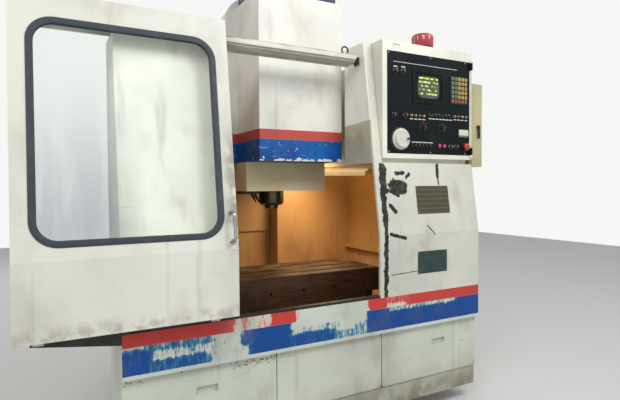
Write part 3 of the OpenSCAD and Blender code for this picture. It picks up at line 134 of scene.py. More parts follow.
class Value:
    """Number pattern of a material; its operators add Math nodes to the tree."""

    def __init__(self, shader: "Shader", socket: Socket) -> None:
        """Keeps the shader and the socket that gives the numbers."""
        self.shader = shader
        self.socket = socket

    def __add__(self, other: "Amount") -> "Value":
        """Sum of two patterns, or of a pattern and a number."""
        return self.shader.calc("ADD", self, other)

    def __sub__(self, other: "Amount") -> "Value":
        """Difference from another pattern or number."""
        return self.shader.calc("SUBTRACT", self, other)

    def __rsub__(self, other: "Amount") -> "Value":
        """Difference of a number and this pattern."""
        return self.shader.calc("SUBTRACT", other, self)

    def __mul__(self, other: "Amount") -> "Value":
        """Product with another pattern or number."""
        return self.shader.calc("MULTIPLY", self, other)

    def __truediv__(self, other: "Amount") -> "Value":
        """Quotient by another pattern or number."""
        return self.shader.calc("DIVIDE", self, other)

    def __abs__(self) -> "Value":
        """Pattern without its sign."""
        return self.shader.calc("ABSOLUTE", self)

    __radd__ = __add__
    __rmul__ = __mul__


Amount = Value | float
Paint = Socket | Colour


@dataclass(frozen=True)
class Cloud:
    """Noise cut to a soft mask: 0 under the low level, 1 over the high one, scale per metre."""

    scale: float
    detail: float
    low: float
    high: float
    stretch: Point = (1, 1, 1)
    rough: float = 0.55


class Shader:
    """Node tree of one material, with short calls for the patterns used here."""

    def __init__(self, name: str) -> None:
        """Starts an empty tree that reads Object coordinates.

        Args:
            name: Name of the material.
        """
        self.material = bpy.data.materials.new(name)
        self.material.use_nodes = True
        self.tree = self.material.node_tree
        self.tree.nodes.clear()
        self.place = self.tree.nodes.new("ShaderNodeTexCoord").outputs["Object"]
        split = self.tree.nodes.new("ShaderNodeSeparateXYZ")
        self.tree.links.new(self.place, split.inputs[0])
        self.x, self.y, self.z = (Value(self, part) for part in split.outputs)

    def _put(self, socket: Socket, value: Amount | Paint) -> None:
        """Links a socket to another one, or sets its value.

        Args:
            socket: Socket that gets it.
            value: Pattern, socket, colour or number.
        """
        if isinstance(value, Value):
            value = value.socket
        if isinstance(value, Socket):
            self.tree.links.new(value, socket)
        elif hasattr(socket.default_value, "__len__") and len(socket.default_value) == 4:
            socket.default_value = (*value, 1.0)
        else:
            socket.default_value = value

    def calc(self, operation: str, first: Amount, second: Amount = 0.0,
             clamp: bool = False) -> Value:
        """Math node: the operation applied to two values.

        Args:
            operation: Name of the Math node's operation.
            first: First value.
            second: Second value.
            clamp: Whether the result is held in 0 to 1.

        Returns:
            The result.
        """
        node = self.tree.nodes.new("ShaderNodeMath")
        node.operation = operation
        node.use_clamp = clamp
        self._put(node.inputs[0], first)
        self._put(node.inputs[1], second)
        return Value(self, node.outputs[0])

    def noise(self, scale: float, detail: float = 3.0, stretch: Point = (1, 1, 1),
              rough: float = 0.55) -> Value:
        """Noise that reads the Object coordinates.

        Args:
            scale: Grains per metre.
            detail: Octaves of finer noise.
            stretch: Factors of the scale along X, Y and Z.
            rough: Strength of each finer octave, as a share of the one before.

        Returns:
            Values about 0.5.
        """
        mapping = self.tree.nodes.new("ShaderNodeMapping")
        self.tree.links.new(self.place, mapping.inputs["Vector"])
        mapping.inputs["Scale"].default_value = stretch
        node = self.tree.nodes.new("ShaderNodeTexNoise")
        self.tree.links.new(mapping.outputs[0], node.inputs["Vector"])
        node.inputs["Scale"].default_value = scale
        node.inputs["Detail"].default_value = detail
        node.inputs["Roughness"].default_value = rough
        return Value(self, node.outputs["Fac"])

    def wander(self, amount: float, scale: float, detail: float, stretch: Point = (1, 1, 1),
               rough: float = 0.55) -> Value:
        """Noise about 0: amount (noise - 0.5)."""
        return (self.noise(scale, detail, stretch, rough) - 0.5) * amount

    def ramp(self, value: Amount, low: float, high: float) -> Value:
        """Smooth step between two levels; low may be the larger one.

        Args:
            value: Pattern or number.
            low: Level where the result is 0.
            high: Level where it is 1.

        Returns:
            3 t^2 - 2 t^3, with t = (value - low) / (high - low) held in 0 to 1.
        """
        node = self.tree.nodes.new("ShaderNodeMapRange")
        node.interpolation_type = "SMOOTHSTEP"
        self._put(node.inputs["Value"], value)
        rises = low < high
        ends = (low, high, 0.0, 1.0) if rises else (high, low, 1.0, 0.0)
        for name, end in zip(("From Min", "From Max", "To Min", "To Max"), ends):
            node.inputs[name].default_value = end
        return Value(self, node.outputs[0])

    def mask(self, cloud: Cloud) -> Value:
        """Soft mask of a cloud."""
        noise = self.noise(cloud.scale, cloud.detail, cloud.stretch, cloud.rough)
        return self.ramp(noise, cloud.low, cloud.high)

    def span(self, value: Amount, low: float, high: float, soft: float = 0.002) -> Value:
        """1 between low and high and 0 outside, with edges of a soft width."""
        return self.ramp(value, low - soft, low + soft) * self.ramp(value, high + soft, high - soft)

    def any_of(self, *masks: Value) -> Value:
        """Largest of several masks.

        Args:
            *masks: Masks of 0 to 1.

        Returns:
            Their maximum at each place.
        """
        result = masks[0]
        for mask in masks[1:]:
            result = self.calc("MAXIMUM", result, mask)
        return result

    def stroke(self, start: Spot, end: Spot, radius: float, rag: float = 0.5) -> Value:
        """Ragged brush stroke in the XZ plane.

        Args:
            start: First point (X, Z) in metres.
            end: Last point (X, Z).
            radius: Half width.
            rag: How ragged the edge is, as a share of the radius.

        Returns:
            1 where the distance to the segment start + t (end - start), with t held in 0 to 1, is
            under the radius, changed by noise.
        """
        along = (end[0] - start[0], end[1] - start[1])
        length = along[0] ** 2 + along[1] ** 2 + 1e-9
        dx, dz = self.x - start[0], self.z - start[1]
        t = self.calc("DIVIDE", dx * along[0] + dz * along[1], length, clamp=True)
        ex, ez = dx - t * along[0], dz - t * along[1]
        distance = self.calc("SQRT", ex * ex + ez * ez)
        wander = self.wander(4 * rag * radius, 60, 6, rough=0.7)
        return self.ramp(distance + wander, radius * 1.12, radius * 0.88)

    def mix(self, amount: Amount, first: Paint, second: Paint) -> Socket:
        """Blend of two colours.

        Args:
            amount: Share of the second colour.
            first: Colour at 0.
            second: Colour at 1.

        Returns:
            Socket of the blend.
        """
        node = self.tree.nodes.new("ShaderNodeMix")
        node.data_type = "RGBA"
        node.clamp_factor = True
        self._put(node.inputs[0], amount)
        self._put(node.inputs[6], first)
        self._put(node.inputs[7], second)
        return node.outputs[2]

    def bump(self, height: Value, strength: float, distance: float) -> Socket:
        """Normal that is tilted by a height pattern.

        Args:
            height: Pattern of the height.
            strength: Strength of the tilt.
            distance: Height of a step of 1, in metres.

        Returns:
            Socket of the normal.
        """
        node = self.tree.nodes.new("ShaderNodeBump")
        node.inputs["Strength"].default_value = strength
        node.inputs["Distance"].default_value = distance
        self._put(node.inputs["Height"], height)
        return node.outputs[0]

    def close(self, colour: Paint, roughness: Amount, metallic: Amount = 0.0,
              normal: Socket | None = None, **plain: Amount | Paint) -> Material:
        """Ends the tree with a principled surface.

        Args:
            colour: Colour or socket.
            roughness: Value or number.
            metallic: Value or number.
            normal: Socket of a tilted normal.
            **plain: Other sockets by name, with underscores for blanks.

        Returns:
            The finished material.
        """
        surface = self.tree.nodes.new("ShaderNodeBsdfPrincipled")
        output = self.tree.nodes.new("ShaderNodeOutputMaterial")
        self._put(surface.inputs["Base Color"], colour)
        self._put(surface.inputs["Roughness"], roughness)
        self._put(surface.inputs["Metallic"], metallic)
        if normal is not None:
            self.tree.links.new(normal, surface.inputs["Normal"])
        for name, value in plain.items():
            self._put(surface.inputs[name.replace("_", " ").title().replace("Ior", "IOR")], value)
        self.tree.links.new(surface.outputs[0], output.inputs["Surface"])
        return self.material


@dataclass(frozen=True)
class Finish:
    """Look of a surface, made into a material of its name for the frame nodes that it lists."""

    name: str
    nodes: str

    def make(self) -> Material:
        """Builds the material."""
        raise NotImplementedError(self.name)


@dataclass(frozen=True)
class Enamel(Finish):
    """Sprayed machine enamel with uneven tone, dust, runs, scratches and chips."""

    colour: Colour
    roughness: float = 0.42
    dust: float = 0.30
    runs: float = 0.25
    chips: float = 0.0
    scratches: float = 0.3
    low_dirt: float = 0.0
    coat: float = 0.06
    shine: float = 0.3

    TONE = Cloud(2.3, 4, 0.35, 0.68)
    DUST = Cloud(5.5, 6, 0.50, 0.74, (1, 1, 0.7))
    RUNS = Cloud(16, 3, 0.60, 0.78, (1, 1, 0.05))
    SPLASHES = Cloud(9, 5, 0.3, 0.6)
    SPLASH_TOP, SPLASH_FULL = 0.30, 0.06
    SCRATCHES = Cloud(30, 2, 0.735, 0.755, (0.25, 0.25, 3.2))
    CHIPS = Cloud(62, 4, 0.685, 0.705, (1, 1, 0.8), 0.7)
    CHIPPED_PLACES = Cloud(6, 2, 0.50, 0.58)

    def marks(self, s: Shader, colour: Paint) -> Paint:
        """Colour of the place's own marks laid over the enamel; plain enamel has none."""
        return colour

    def make(self) -> Material:
        """Builds the material: base tone, marks, dust, runs, dirt, scratches, chips.

        Returns:
            The finished material.
        """
        s = Shader(self.name)
        light = tuple(min(part * 1.05, 0.9) for part in self.colour)
        colour = self.marks(s, s.mix(s.mask(self.TONE), light, dim(self.colour, 0.88)))
        colour = s.mix(s.mask(self.DUST) * self.dust, colour, GRIME)
        colour = s.mix(s.mask(self.RUNS) * self.runs, colour, dim(GRIME, 0.7))
        if self.low_dirt:
            low = s.ramp(s.z, self.SPLASH_TOP, self.SPLASH_FULL) * self.low_dirt
            colour = s.mix(low * s.mask(self.SPLASHES), colour, GRIME)
        if self.scratches:
            colour = s.mix(s.mask(self.SCRATCHES) * self.scratches, colour, dim(GRIME, 0.5))
        if self.chips:
            rare = s.mask(self.CHIPS) * s.mask(self.CHIPPED_PLACES)
            colour = s.mix(rare * self.chips, colour, CHIP)
        rough = self.roughness - 0.08 + s.noise(14, 4) * 0.16
        peel = s.noise(170, 2) + s.noise(24, 3) * 1.6
        return s.close(colour, rough, normal=s.bump(peel, 0.12, 0.0012), coat_weight=self.coat,
                       coat_roughness=0.3, specular_ior_level=self.shine)


@dataclass(frozen=True)
class Patch:
    """A brushed patch of a painted stripe in the XZ plane, with how much of its paint is left."""

    left: float
    right: float
    low: float
    high: float
    level: float
    soft_x: float = 0.03
    soft_z: float = 0.014


@dataclass(frozen=True)
class StripedEnamel(Enamel):
    """Enamel with a red over a blue stripe, both worn and brushed out in places."""

    blue_low: float = 0.517
    blue_high: float = 0.632
    red_high: float = 0.688
    front_y: float = FACE_Y + 0.004

    RED_PARTS = (
        Patch(-1.10, -0.545, 0.59, 0.73, 1.55, 0.05),
        Patch(-0.56, -0.365, 0.60, 0.73, 0.44, 0.05),
        Patch(-0.368, -0.240, 0.627, 0.70, 1.7, 0.014, 0.010),
        Patch(-0.26, -0.20, 0.60, 0.72, 0.34),
        Patch(0.190, 0.300, 0.627, 0.70, 1.7, 0.014, 0.010),
        Patch(0.290, 0.480, 0.650, 0.73, 0.95),
        Patch(0.440, 1.10, 0.59, 0.73, 1.55, 0.05),
    )
    BLUE_PARTS = (
        Patch(-1.10, -0.900, 0.49, 0.620, 1.30, 0.04, 0.02),
        Patch(-0.94, -0.640, 0.598, 0.66, 0.80, 0.04),
        Patch(-0.95, -0.650, 0.49, 0.568, 1.05, 0.05),
        Patch(-0.90, -0.60, 0.54, 0.61, 0.36, 0.04),
        Patch(-0.66, -0.48, 0.49, 0.560, 0.30, 0.05, 0.02),
        Patch(-0.512, -0.440, 0.565, 0.66, 1.1, 0.02),
        Patch(-0.470, -0.262, 0.49, 0.67, 1.6),
        Patch(-0.29, -0.02, 0.49, 0.578, 1.15, 0.03),
        Patch(-0.27, 0.04, 0.565, 0.606, 0.40, 0.05),
        Patch(-0.06, 0.125, 0.49, 0.562, 0.66, 0.05),
        Patch(0.08, 0.22, 0.49, 0.580, 0.46, 0.04, 0.02),
        Patch(0.175, 1.10, 0.49, 0.612, 1.6, 0.02),
        Patch(0.170, 0.32, 0.59, 0.67, 1.2, 0.02),
        Patch(0.28, 0.82, 0.600, 0.66, 0.46, 0.04),
        Patch(0.79, 1.10, 0.59, 0.67, 1.4, 0.05),
    )

    def cover(self, s: Shader, parts: tuple[Patch, ...]) -> Value:
        """Paint that is left of a stripe.

        Args:
            s: Shader of the material.
            parts: Patches of the stripe.

        Returns:
            The amount: level + brush, where level is the largest of the patches' span(x + u)
            span(z + v) level, u and v are slow noise that bends the edges, and brush is streaks,
            upright fringes and blobs about 0.
        """
        x = s.x + s.wander(0.060, 19, 4)
        z = s.z + s.wander(0.034, 40, 5, (1, 1, 0.4))
        levels = [s.span(x, part.left, part.right, part.soft_x)
                  * s.span(z, part.low, part.high, part.soft_z) * part.level for part in parts]
        streaks = s.wander(1.7, 55, 6, (1, 1, 0.45), 0.7)
        fringes = s.wander(1.2, 210, 3, (1, 1, 0.10), 0.6)
        blobs = s.wander(0.9, 15, 4)
        return s.any_of(*levels) + (streaks + fringes + blobs)

    def marks(self, s: Shader, colour: Paint) -> Paint:
        """Lays the two stripes over the enamel; thin paint is paler than thick paint.

        Args:
            s: Shader of the material.
            colour: Colour of the enamel.

        Returns:
            The colour with the marks.
        """
        front = s.ramp(s.y, self.front_y + MM, self.front_y - MM)
        edge = s.z + s.wander(0.004, 50, 3)
        over_top = self.red_high + 0.01
        for parts, low, high, thick, thin in (
                (self.RED_PARTS, self.blue_high, over_top, RED, THIN_RED),
                (self.BLUE_PARTS, self.blue_low, self.blue_high, BLUE, THIN_BLUE)):
            amount = self.cover(s, parts)
            paint = s.mix(s.ramp(amount, 0.45, 1.25), thin, thick)
            here = s.span(edge, low, high, 0.0012) * front
            colour = s.mix(here * s.ramp(amount, 0.34, 0.70), colour, paint)
        return colour


@dataclass(frozen=True)
class HeadStripes(Enamel):
    """Enamel of the head's covers with a blue under a red stripe all round."""

    blue_low: float = 1.4182
    blue_high: float = 1.5349
    red_high: float = 1.5887
    front_y: float = SPINDLE_Y - 0.42

    STRIPE_TONE = Cloud(6, 4, 0.3, 0.7)
    LOSSES = Cloud(38, 5, 0.685, 0.70)
    SCUFFS = Cloud(34, 3, 0.62, 0.66, (0.3, 1, 2.4))

    def marks(self, s: Shader, colour: Paint) -> Paint:
        """Lays both stripes over the enamel; the blue one is scuffed and bare at its front foot.

        Args:
            s: Shader of the material.
            colour: Colour of the enamel.

        Returns:
            The colour with the marks.
        """
        tone = s.mask(self.STRIPE_TONE)
        red = s.span(s.z, self.blue_high, self.red_high, MM)
        rag = (s.noise(46, 5, (0.6, 0.6, 1)) - 0.46) * 0.10
        bare = (s.ramp(s.z - rag, self.blue_low + 0.003, self.blue_low + 0.001)
                * s.ramp(s.y, self.front_y, self.front_y - 0.005))
        blue = (s.span(s.z, self.blue_low - 0.01, self.blue_high, MM)
                * (1.0 - s.any_of(s.mask(self.LOSSES), bare)))
        scuff = s.mask(self.SCUFFS) * s.ramp(s.x, 0.05, -0.05) * 0.5
        paint = s.mix(scuff, s.mix(tone, srgb(4, 98, 178), srgb(0, 74, 152)), srgb(150, 172, 196))
        colour = s.mix(red, colour, s.mix(tone, srgb(198, 82, 76), srgb(184, 72, 68)))
        return s.mix(blue, colour, paint)


@dataclass(frozen=True)
class CabinetEnamel(Enamel):
    """Enamel of the right cabinet, with black paint loss along the pillar's seam and beside it, and
    painted light and shade on the inner plate.
    """

    seam_x: float = 0.310
    plate_x: float = 0.267
    shade_line_z: float = 1.585

    STROKES = (
        ((0.385, 1.275), (0.430, 1.268), 0.042, 0.35),
        ((0.405, 1.345), (0.450, 1.350), 0.011, 0.9),
        ((0.470, 1.325), (0.492, 1.340), 0.009, 0.9),
        ((0.344, 1.172), (0.376, 1.138), 0.012),
        ((0.340, 1.255), (0.405, 1.225), 0.010),
        ((0.330, 1.020), (0.430, 0.995), 0.009),
        ((0.704, 1.395), (0.700, 1.330), 0.011),
        ((0.700, 1.330), (0.703, 1.285), 0.005),
        ((0.590, 1.055), (0.640, 1.005), 0.0035),
        ((0.335, 0.802), (0.565, 0.812), 0.0022, 0.9),
    )
    LIT_PLATE_TONE = Cloud(4, 4, 0.4, 0.7)
    SHADE_TONE = Cloud(9, 5, 0.4, 0.7)
    SPOTS = Cloud(24, 5, 0.70, 0.72)
    PRIMER = Cloud(48, 4, 0.50, 0.66)

    def marks(self, s: Shader, colour: Paint) -> Paint:
        """Lays a painted highlight over the inner plate with a painted shade at its foot, and the
        lost paint, over the enamel.

        Args:
            s: Shader of the material.
            colour: Colour of the enamel.

        Returns:
            The colour with the marks.
        """
        across = s.x + s.wander(0.052, 30, 6, (1, 1, 0.7), 0.68)
        front = s.ramp(s.y, SPINDLE_Y - 0.62, SPINDLE_Y - 0.66)
        seam = (s.span(across, self.seam_x - 0.022, self.seam_x + 0.005)
                * s.ramp(s.z, 1.405, 1.395))
        wide = (s.span(across, self.seam_x - 0.020, self.seam_x + 0.026)
                * s.span(s.z, 1.235, 1.396, 0.004))
        narrow = (s.span(across, self.seam_x - 0.024, self.seam_x + 0.012)
                  * s.span(s.z, 1.06, 1.245, 0.01))
        strokes = [s.stroke(*stroke) for stroke in self.STROKES]
        lost = s.any_of(seam, wide, narrow, *strokes) * front
        # Painted light and shade: the inner plate is paler than the cabinet's paint as a painted
        # highlight, and its foot below a level line is painted grey as shade.
        inner = (s.ramp(s.x, self.plate_x + 0.0005, self.plate_x - 0.0005)
                 * s.ramp(s.y, SPINDLE_Y - 0.735, SPINDLE_Y - 0.70))
        foot = inner * s.ramp(s.z + s.y * 0.05, self.shade_line_z + 0.005,
                              self.shade_line_z - 0.005)
        pale = s.mix(s.mask(self.LIT_PLATE_TONE), srgb(236, 236, 228), srgb(220, 220, 208))
        painted_shade = s.mix(s.mask(self.SHADE_TONE), srgb(182, 182, 163), srgb(166, 164, 144))
        colour = s.mix(foot, s.mix(inner, colour, pale), painted_shade)
        primer = s.mix(s.mask(self.PRIMER), CHIP, srgb(74, 66, 56))
        return s.mix(s.any_of(lost, inner * s.mask(self.SPOTS)), colour, primer)


@dataclass(frozen=True)
class DoorEnamel(Enamel):
    """Enamel of the door, dirtied by hands beside the handle and by coolant along its foot."""

    edge_x: float = -0.5506

    HANDS = Cloud(17, 6, 0.36, 0.62)
    FOOT = Cloud(20, 5, 0.42, 0.6)

    def marks(self, s: Shader, colour: Paint) -> Paint:
        """Lays the hand marks and the dirty foot over the enamel.

        Args:
            s: Shader of the material.
            colour: Colour of the enamel.

        Returns:
            The colour with the marks.
        """
        near = s.ramp(s.x, self.edge_x - 0.070, self.edge_x - 0.005)
        hands = near * s.span(s.z, 1.02, 1.50, 0.10) * s.mask(self.HANDS)
        colour = s.mix(hands * 0.62, colour, srgb(106, 96, 74))
        foot = s.ramp(s.z, 0.80, 0.73) * s.mask(self.FOOT)
        return s.mix(foot * 0.4, colour, GRIME)


@dataclass(frozen=True)
class ChippedEnamel(Enamel):
    """Enamel of a lower panel, chipped along its top edge."""

    top_z: float = 0.495
    left_x: float = -0.90
    right_x: float = -0.62

    def marks(self, s: Shader, colour: Paint) -> Paint:
        """Lays the top edge's chips over the enamel, with a speckled belt under both its ends.

        Args:
            s: Shader of the material.
            colour: Colour of the enamel.

        Returns:
            The colour with the marks.
        """
        rag = s.wander(0.15, 75, 6, (0.8, 1, 1), 0.7)
        edge = s.ramp(s.z + rag, self.top_z + 0.009, self.top_z + 0.012)
        ends = s.any_of(s.ramp(s.x, self.left_x, self.left_x - 0.05),
                        s.ramp(s.x, self.right_x, self.right_x + 0.10))
        belt = ends * s.ramp(s.z, self.top_z - 0.085, self.top_z - 0.005)
        specks = s.ramp(s.noise(85, 4, (0.7, 1, 1.2), 0.7) + belt * 0.15, 0.69, 0.71)
        specks = specks * s.ramp(belt, 0.0, 0.1)
        return s.mix(s.any_of(edge, specks) * 0.92, colour, CHIP)


@dataclass(frozen=True)
class WorkZoneEnamel(Enamel):
    """Enamel of the work zone, tan partly from its own paint and partly as painted warm lamp light,
    stained by coolant from the ledge down, with a pale outside.
    """

    side_x: float = 0.8918
    back_y: float = 0.2018
    cover_y: float = 0.350
    channel_x: float = 0.2535
    soft: float = 0.0005

    STAINS = Cloud(6, 6, 0.38, 0.66, (1, 1, 0.5))
    WET_RUNS = Cloud(22, 4, 0.56, 0.72, (1, 1, 0.06))

    def over(self, s: Shader, value: Value, limit: float) -> Value:
        """1 where a value is over a limit."""
        return s.ramp(value, limit - self.soft, limit + self.soft)

    def marks(self, s: Shader, colour: Paint) -> Paint:
        """Lays coolant stains over the enamel, and the outer paint over the outer faces.

        Args:
            s: Shader of the material.
            colour: Colour of the enamel.

        Returns:
            The colour with the marks.
        """
        side = abs(s.x)
        back = self.over(s, s.y, self.back_y) * self.over(s, side, self.channel_x)
        outer = s.any_of(back, self.over(s, s.y, self.cover_y), self.over(s, side, self.side_x))
        low = s.ramp(s.z, 1.25, 0.60)
        colour = s.mix(low * s.mask(self.STAINS) * 0.35, colour, srgb(118, 78, 44))
        colour = s.mix(low * s.mask(self.WET_RUNS) * 0.28, colour, srgb(84, 58, 36))
        return s.mix(outer, colour, CREAM)


@dataclass(frozen=True)
class Metal(Finish):
    """Bare or oiled metal with a machined grain, stains and rust."""

    colour: Colour
    roughness: float = 0.32
    grain: Point = (1, 1, 1)
    grain_scale: float = 160
    stain: float = 0.35
    stain_colour: Colour = srgb(62, 44, 30)
    metallic: float = 1.0

    STAINS = Cloud(15, 6, 0.46, 0.70)

    def make(self) -> Material:
        """Builds the material: grain in the roughness and bump, stains over the colour.

        Returns:
            The finished material.
        """
        s = Shader(self.name)
        grain = s.noise(self.grain_scale, 3, self.grain)
        colour = s.mix(s.ramp(grain, 0.35, 0.68), self.colour, dim(self.colour, 0.72))
        spots = s.mask(self.STAINS) * self.stain
        colour = s.mix(spots, colour, self.stain_colour)
        rough = self.roughness - 0.06 + (grain * 0.12 + spots * 0.5)
        metal = (1.0 - spots * 0.8) * self.metallic
        return s.close(colour, rough, metal, s.bump(grain, 0.14, 0.0006))


@dataclass(frozen=True)
class Moulding(Finish):
    """Moulded plastic or rubber with a fine grain and handling marks."""

    colour: Colour
    roughness: float = 0.45
    worn: float = 0.15
    coat: float = 0.0

    WEAR = Cloud(26, 5, 0.48, 0.72)

    def make(self) -> Material:
        """Builds the material: tone from slow noise, bump from fine noise.

        Returns:
            The finished material.
        """
        s = Shader(self.name)
        pale = tuple(0.55 * part + 0.10 for part in self.colour)
        colour = s.mix(s.mask(self.WEAR) * self.worn, self.colour, pale)
        rough = self.roughness - 0.05 + s.noise(60, 3) * 0.12
        return s.close(colour, rough, normal=s.bump(s.noise(420, 2), 0.10, 0.0004),
                       coat_weight=self.coat, coat_roughness=0.12)


@dataclass(frozen=True)
class DeckIron(Finish):
    """Machined table iron: milling lines along X, coolant film and rust by the slots."""

    slot_middle: float = SPINDLE_Y - 0.220
    top_z: float = 0.779

    FILM = Cloud(8, 6, 0.42, 0.62)
    WORN_TOP = Cloud(11, 5, 0.52, 0.66, (0.5, 1, 1))

    def make(self) -> Material:
        """Builds the material: lines, film, worn bright top, darker front and back margins.

        Returns:
            The finished material.
        """
        s = Shader(self.name)
        lines = s.noise(120, 3, (0.06, 1, 1))
        base = s.mix(s.ramp(lines, 0.3, 0.7), srgb(104, 70, 44), srgb(60, 41, 28))
        base = s.mix(s.mask(self.FILM) * 0.65, base, srgb(46, 30, 20))
        bright = s.ramp(s.z, self.top_z - 0.003, self.top_z) * s.mask(self.WORN_TOP)
        base = s.mix(bright * 0.55, base, srgb(176, 140, 104))
        margin = s.ramp(abs(s.y - self.slot_middle), 0.16, 0.19)
        base = s.mix(margin * 0.4, base, srgb(66, 44, 30))
        rough = 0.36 + s.noise(30, 4) * 0.25
        return s.close(base, rough, 0.35, s.bump(lines, 0.2, 0.0006))


@dataclass(frozen=True)
class RailPaint(Finish):
    """White rail with its upper edge worn to steel and painted shade along its underside."""

    top_z: float = 1.986
    low_z: float = 1.955

    TONE = Cloud(3, 4, 0.4, 0.7)
    UNDERSIDE_SHADE = Cloud(18, 5, 0.30, 0.55, (0.3, 1, 1))

    def make(self) -> Material:
        """Builds the material: tone, worn edge, painted underside shade.

        Returns:
            The finished material.
        """
        s = Shader(self.name)
        colour = s.mix(s.mask(self.TONE), srgb(216, 214, 202), srgb(188, 184, 170))
        edge = s.z + s.wander(0.018, 34, 5, (0.4, 1, 1))
        worn = s.ramp(edge, self.top_z - 0.006, self.top_z) * 0.8
        colour = s.mix(worn, colour, srgb(74, 70, 62))
        # Painted shade: a brownish darkening along the underside, broken up by noise.
        underside_shade = s.ramp(s.z, self.low_z + 0.007, self.low_z) * s.mask(self.UNDERSIDE_SHADE)
        colour = s.mix(underside_shade * 0.40, colour, srgb(124, 114, 94))
        return s.close(colour, 0.45, 0.0, s.bump(s.noise(160, 2), 0.1, 0.001))


@dataclass(frozen=True)
class PaneGlass(Finish):
    """Clear window pane with a faint smear and a grey tint toward its lower left corner."""

    SMEAR = Cloud(7, 5, 0.50, 0.72, (1, 1, 0.4))
    CORNER_TINT = Cloud(3.2, 4, 0.20, 0.62, (2.5, 1, 0.3))

    def make(self) -> Material:
        """Builds the material: the smear roughens the glass, the haze tints it.

        Returns:
            Builds the material: the smear roughens the glass, a grey tint darkens its lower left
                corner.
        """
        s = Shader(self.name)
        rough = 0.03 + s.mask(self.SMEAR) * 0.06
        corner = s.ramp(s.z, 1.80, 1.05) * s.ramp(s.x, -0.90, -1.08)
        tint = s.mix(corner * s.mask(self.CORNER_TINT), srgb(244, 249, 247), srgb(186, 191, 196))
        return s.close(tint, rough, ior=1.45, transmission_weight=1.0)


@dataclass(frozen=True)
class KeyPlastic(Finish):
    """Keys in colour groups: green left, yellow right, red in the lowest row, on a dark plate."""

    split_x: float = 0.862
    row_z: float = 1.780
    front_y: float = SPINDLE_Y - 0.7485

    WEAR = Cloud(24, 5, 0.45, 0.7)

    def make(self) -> Material:
        """Builds the material: the groups by place, the plate by depth, finger wear over all.

        Returns:
            The finished material.
        """
        s = Shader(self.name)
        right = s.ramp(s.x, self.split_x - MM, self.split_x + MM)
        keys = s.mix(right, srgb(92, 112, 84), srgb(164, 140, 72))
        keys = s.mix(s.ramp(s.z, self.row_z + MM, self.row_z - MM), keys, srgb(128, 78, 66))
        keys = s.mix(s.mask(self.WEAR) * 0.4, keys, srgb(70, 66, 50))
        raised = s.ramp(s.y, self.front_y + 0.0003, self.front_y - 0.0003)
        colour = s.mix(raised, srgb(30, 34, 34), keys)
        grain = s.noise(156, 3)
        return s.close(colour, 0.38 + grain * 0.15, 0.0, s.bump(grain, 0.08, 0.0004))


@dataclass(frozen=True)
class TubeGlow(Finish):
    """Picture tube that is on: rows of marks without meaning, on a ground dark at its rim."""

    middle: Spot = (0.642, 1.831)
    half: Spot = (0.098, 0.076)
    row_rate: float = 22.0

    MARKS = Cloud(70, 1, 0.50, 0.54, (1, 1, 0.75))

    def make(self) -> Material:
        """Builds the material: marks where sin(rate v) and the noise are high, inside a margin.

        Returns:
            The finished material.
        """
        s = Shader(self.name)
        across = (s.x - self.middle[0]) / self.half[0]
        up = (s.z - self.middle[1]) / self.half[1]
        away = across * across + up * up
        ground = s.mix(s.ramp(away, 0.2, 1.7), srgb(46, 64, 42), srgb(18, 28, 24))
        rows = s.ramp(s.calc("SINE", up * self.row_rate), 0.1, 0.5)
        inside = s.span(across, -0.72, 0.70, 0.02) * s.span(up, -0.72, 0.74, 0.02)
        glow = s.mix(rows * s.mask(self.MARKS) * inside, ground, srgb(206, 214, 96))
        return s.close(glow, 0.12, coat_weight=0.5, coat_roughness=0.05, emission_color=glow,
                       emission_strength=0.5)


@dataclass(frozen=True)
class PlateMetal(Finish):
    """Dark anodised plate with plain bands and no lettering."""

    base: Colour
    band: Colour
    pitch: float

    WEAR = Cloud(20, 5, 0.45, 0.7)

    def make(self) -> Material:
        """Builds the material: bands where sin(2 pi z / pitch) is high.

        Returns:
            The finished material.
        """
        s = Shader(self.name)
        wave = s.calc("SINE", s.z * (TURN / self.pitch))
        colour = s.mix(s.ramp(wave, 0.55, 0.75) * 0.45, self.base, self.band)
        colour = s.mix(s.mask(self.WEAR) * 0.4, colour, srgb(92, 84, 66))
        return s.close(colour, 0.4, 0.35, s.bump(s.noise(240, 2), 0.08, 0.0005))


@dataclass(frozen=True)
class LampTube(Finish):
    """Warm glowing tube of the work lamp."""

    TONE = Cloud(9, 3, 0.3, 0.7)

    def make(self) -> Material:
        """Builds the material: a warm tone that also glows.

        Returns:
            The finished material.
        """
        s = Shader(self.name)
        warm = s.mix(s.mask(self.TONE), srgb(255, 236, 196), srgb(240, 214, 168))
        return s.close(warm, 0.3, emission_color=warm, emission_strength=0.3)


@dataclass
class Mesh:
    """Points and faces that are gathered into one piece."""

    points: list[np.ndarray] = field(default_factory=list)
    faces: list[np.ndarray] = field(default_factory=list)
    inks: list[np.ndarray] = field(default_factory=list)
    count: int = 0

    def add(self, points: np.ndarray, faces: np.ndarray, ink: int = 0) -> "Mesh":
        """Adds one closed surface.

        Args:
            points: Array of (n, 3) places in metres.
            faces: Array of (m, 4) corner numbers.
            ink: Number of the material that it gets.

        Returns:
            The mesh itself.
        """
        self.points.append(points)
        self.faces.append(faces + self.count)
        self.inks.append(np.full(len(faces), ink))
        self.count += len(points)
        return self


def node_box(node: str) -> tuple[np.ndarray, np.ndarray]:
    """Lowest and highest corner of a frame node."""
    low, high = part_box(node)
    return np.array(low), np.array(high)


def grid_faces(rows: int, columns: int, around: bool = True, loop: bool = False) -> np.ndarray:
    """Four-cornered faces of a grid of points.

    Args:
        rows: Points along the first parameter.
        columns: Points along the second parameter.
        around: Whether the second parameter closes on itself.
        loop: Whether the first parameter closes on itself.

    Returns:
        Corner numbers: point (i, j) has the number i * columns + j.
    """
    i, j = np.meshgrid(np.arange(rows if loop else rows - 1),
                       np.arange(columns if around else columns - 1), indexing="ij")
    up, right = (i + 1) % rows, (j + 1) % columns
    corners = [i * columns + j, i * columns + right, up * columns + right, up * columns + j]
    return np.stack(corners, axis=-1).reshape(-1, 4)


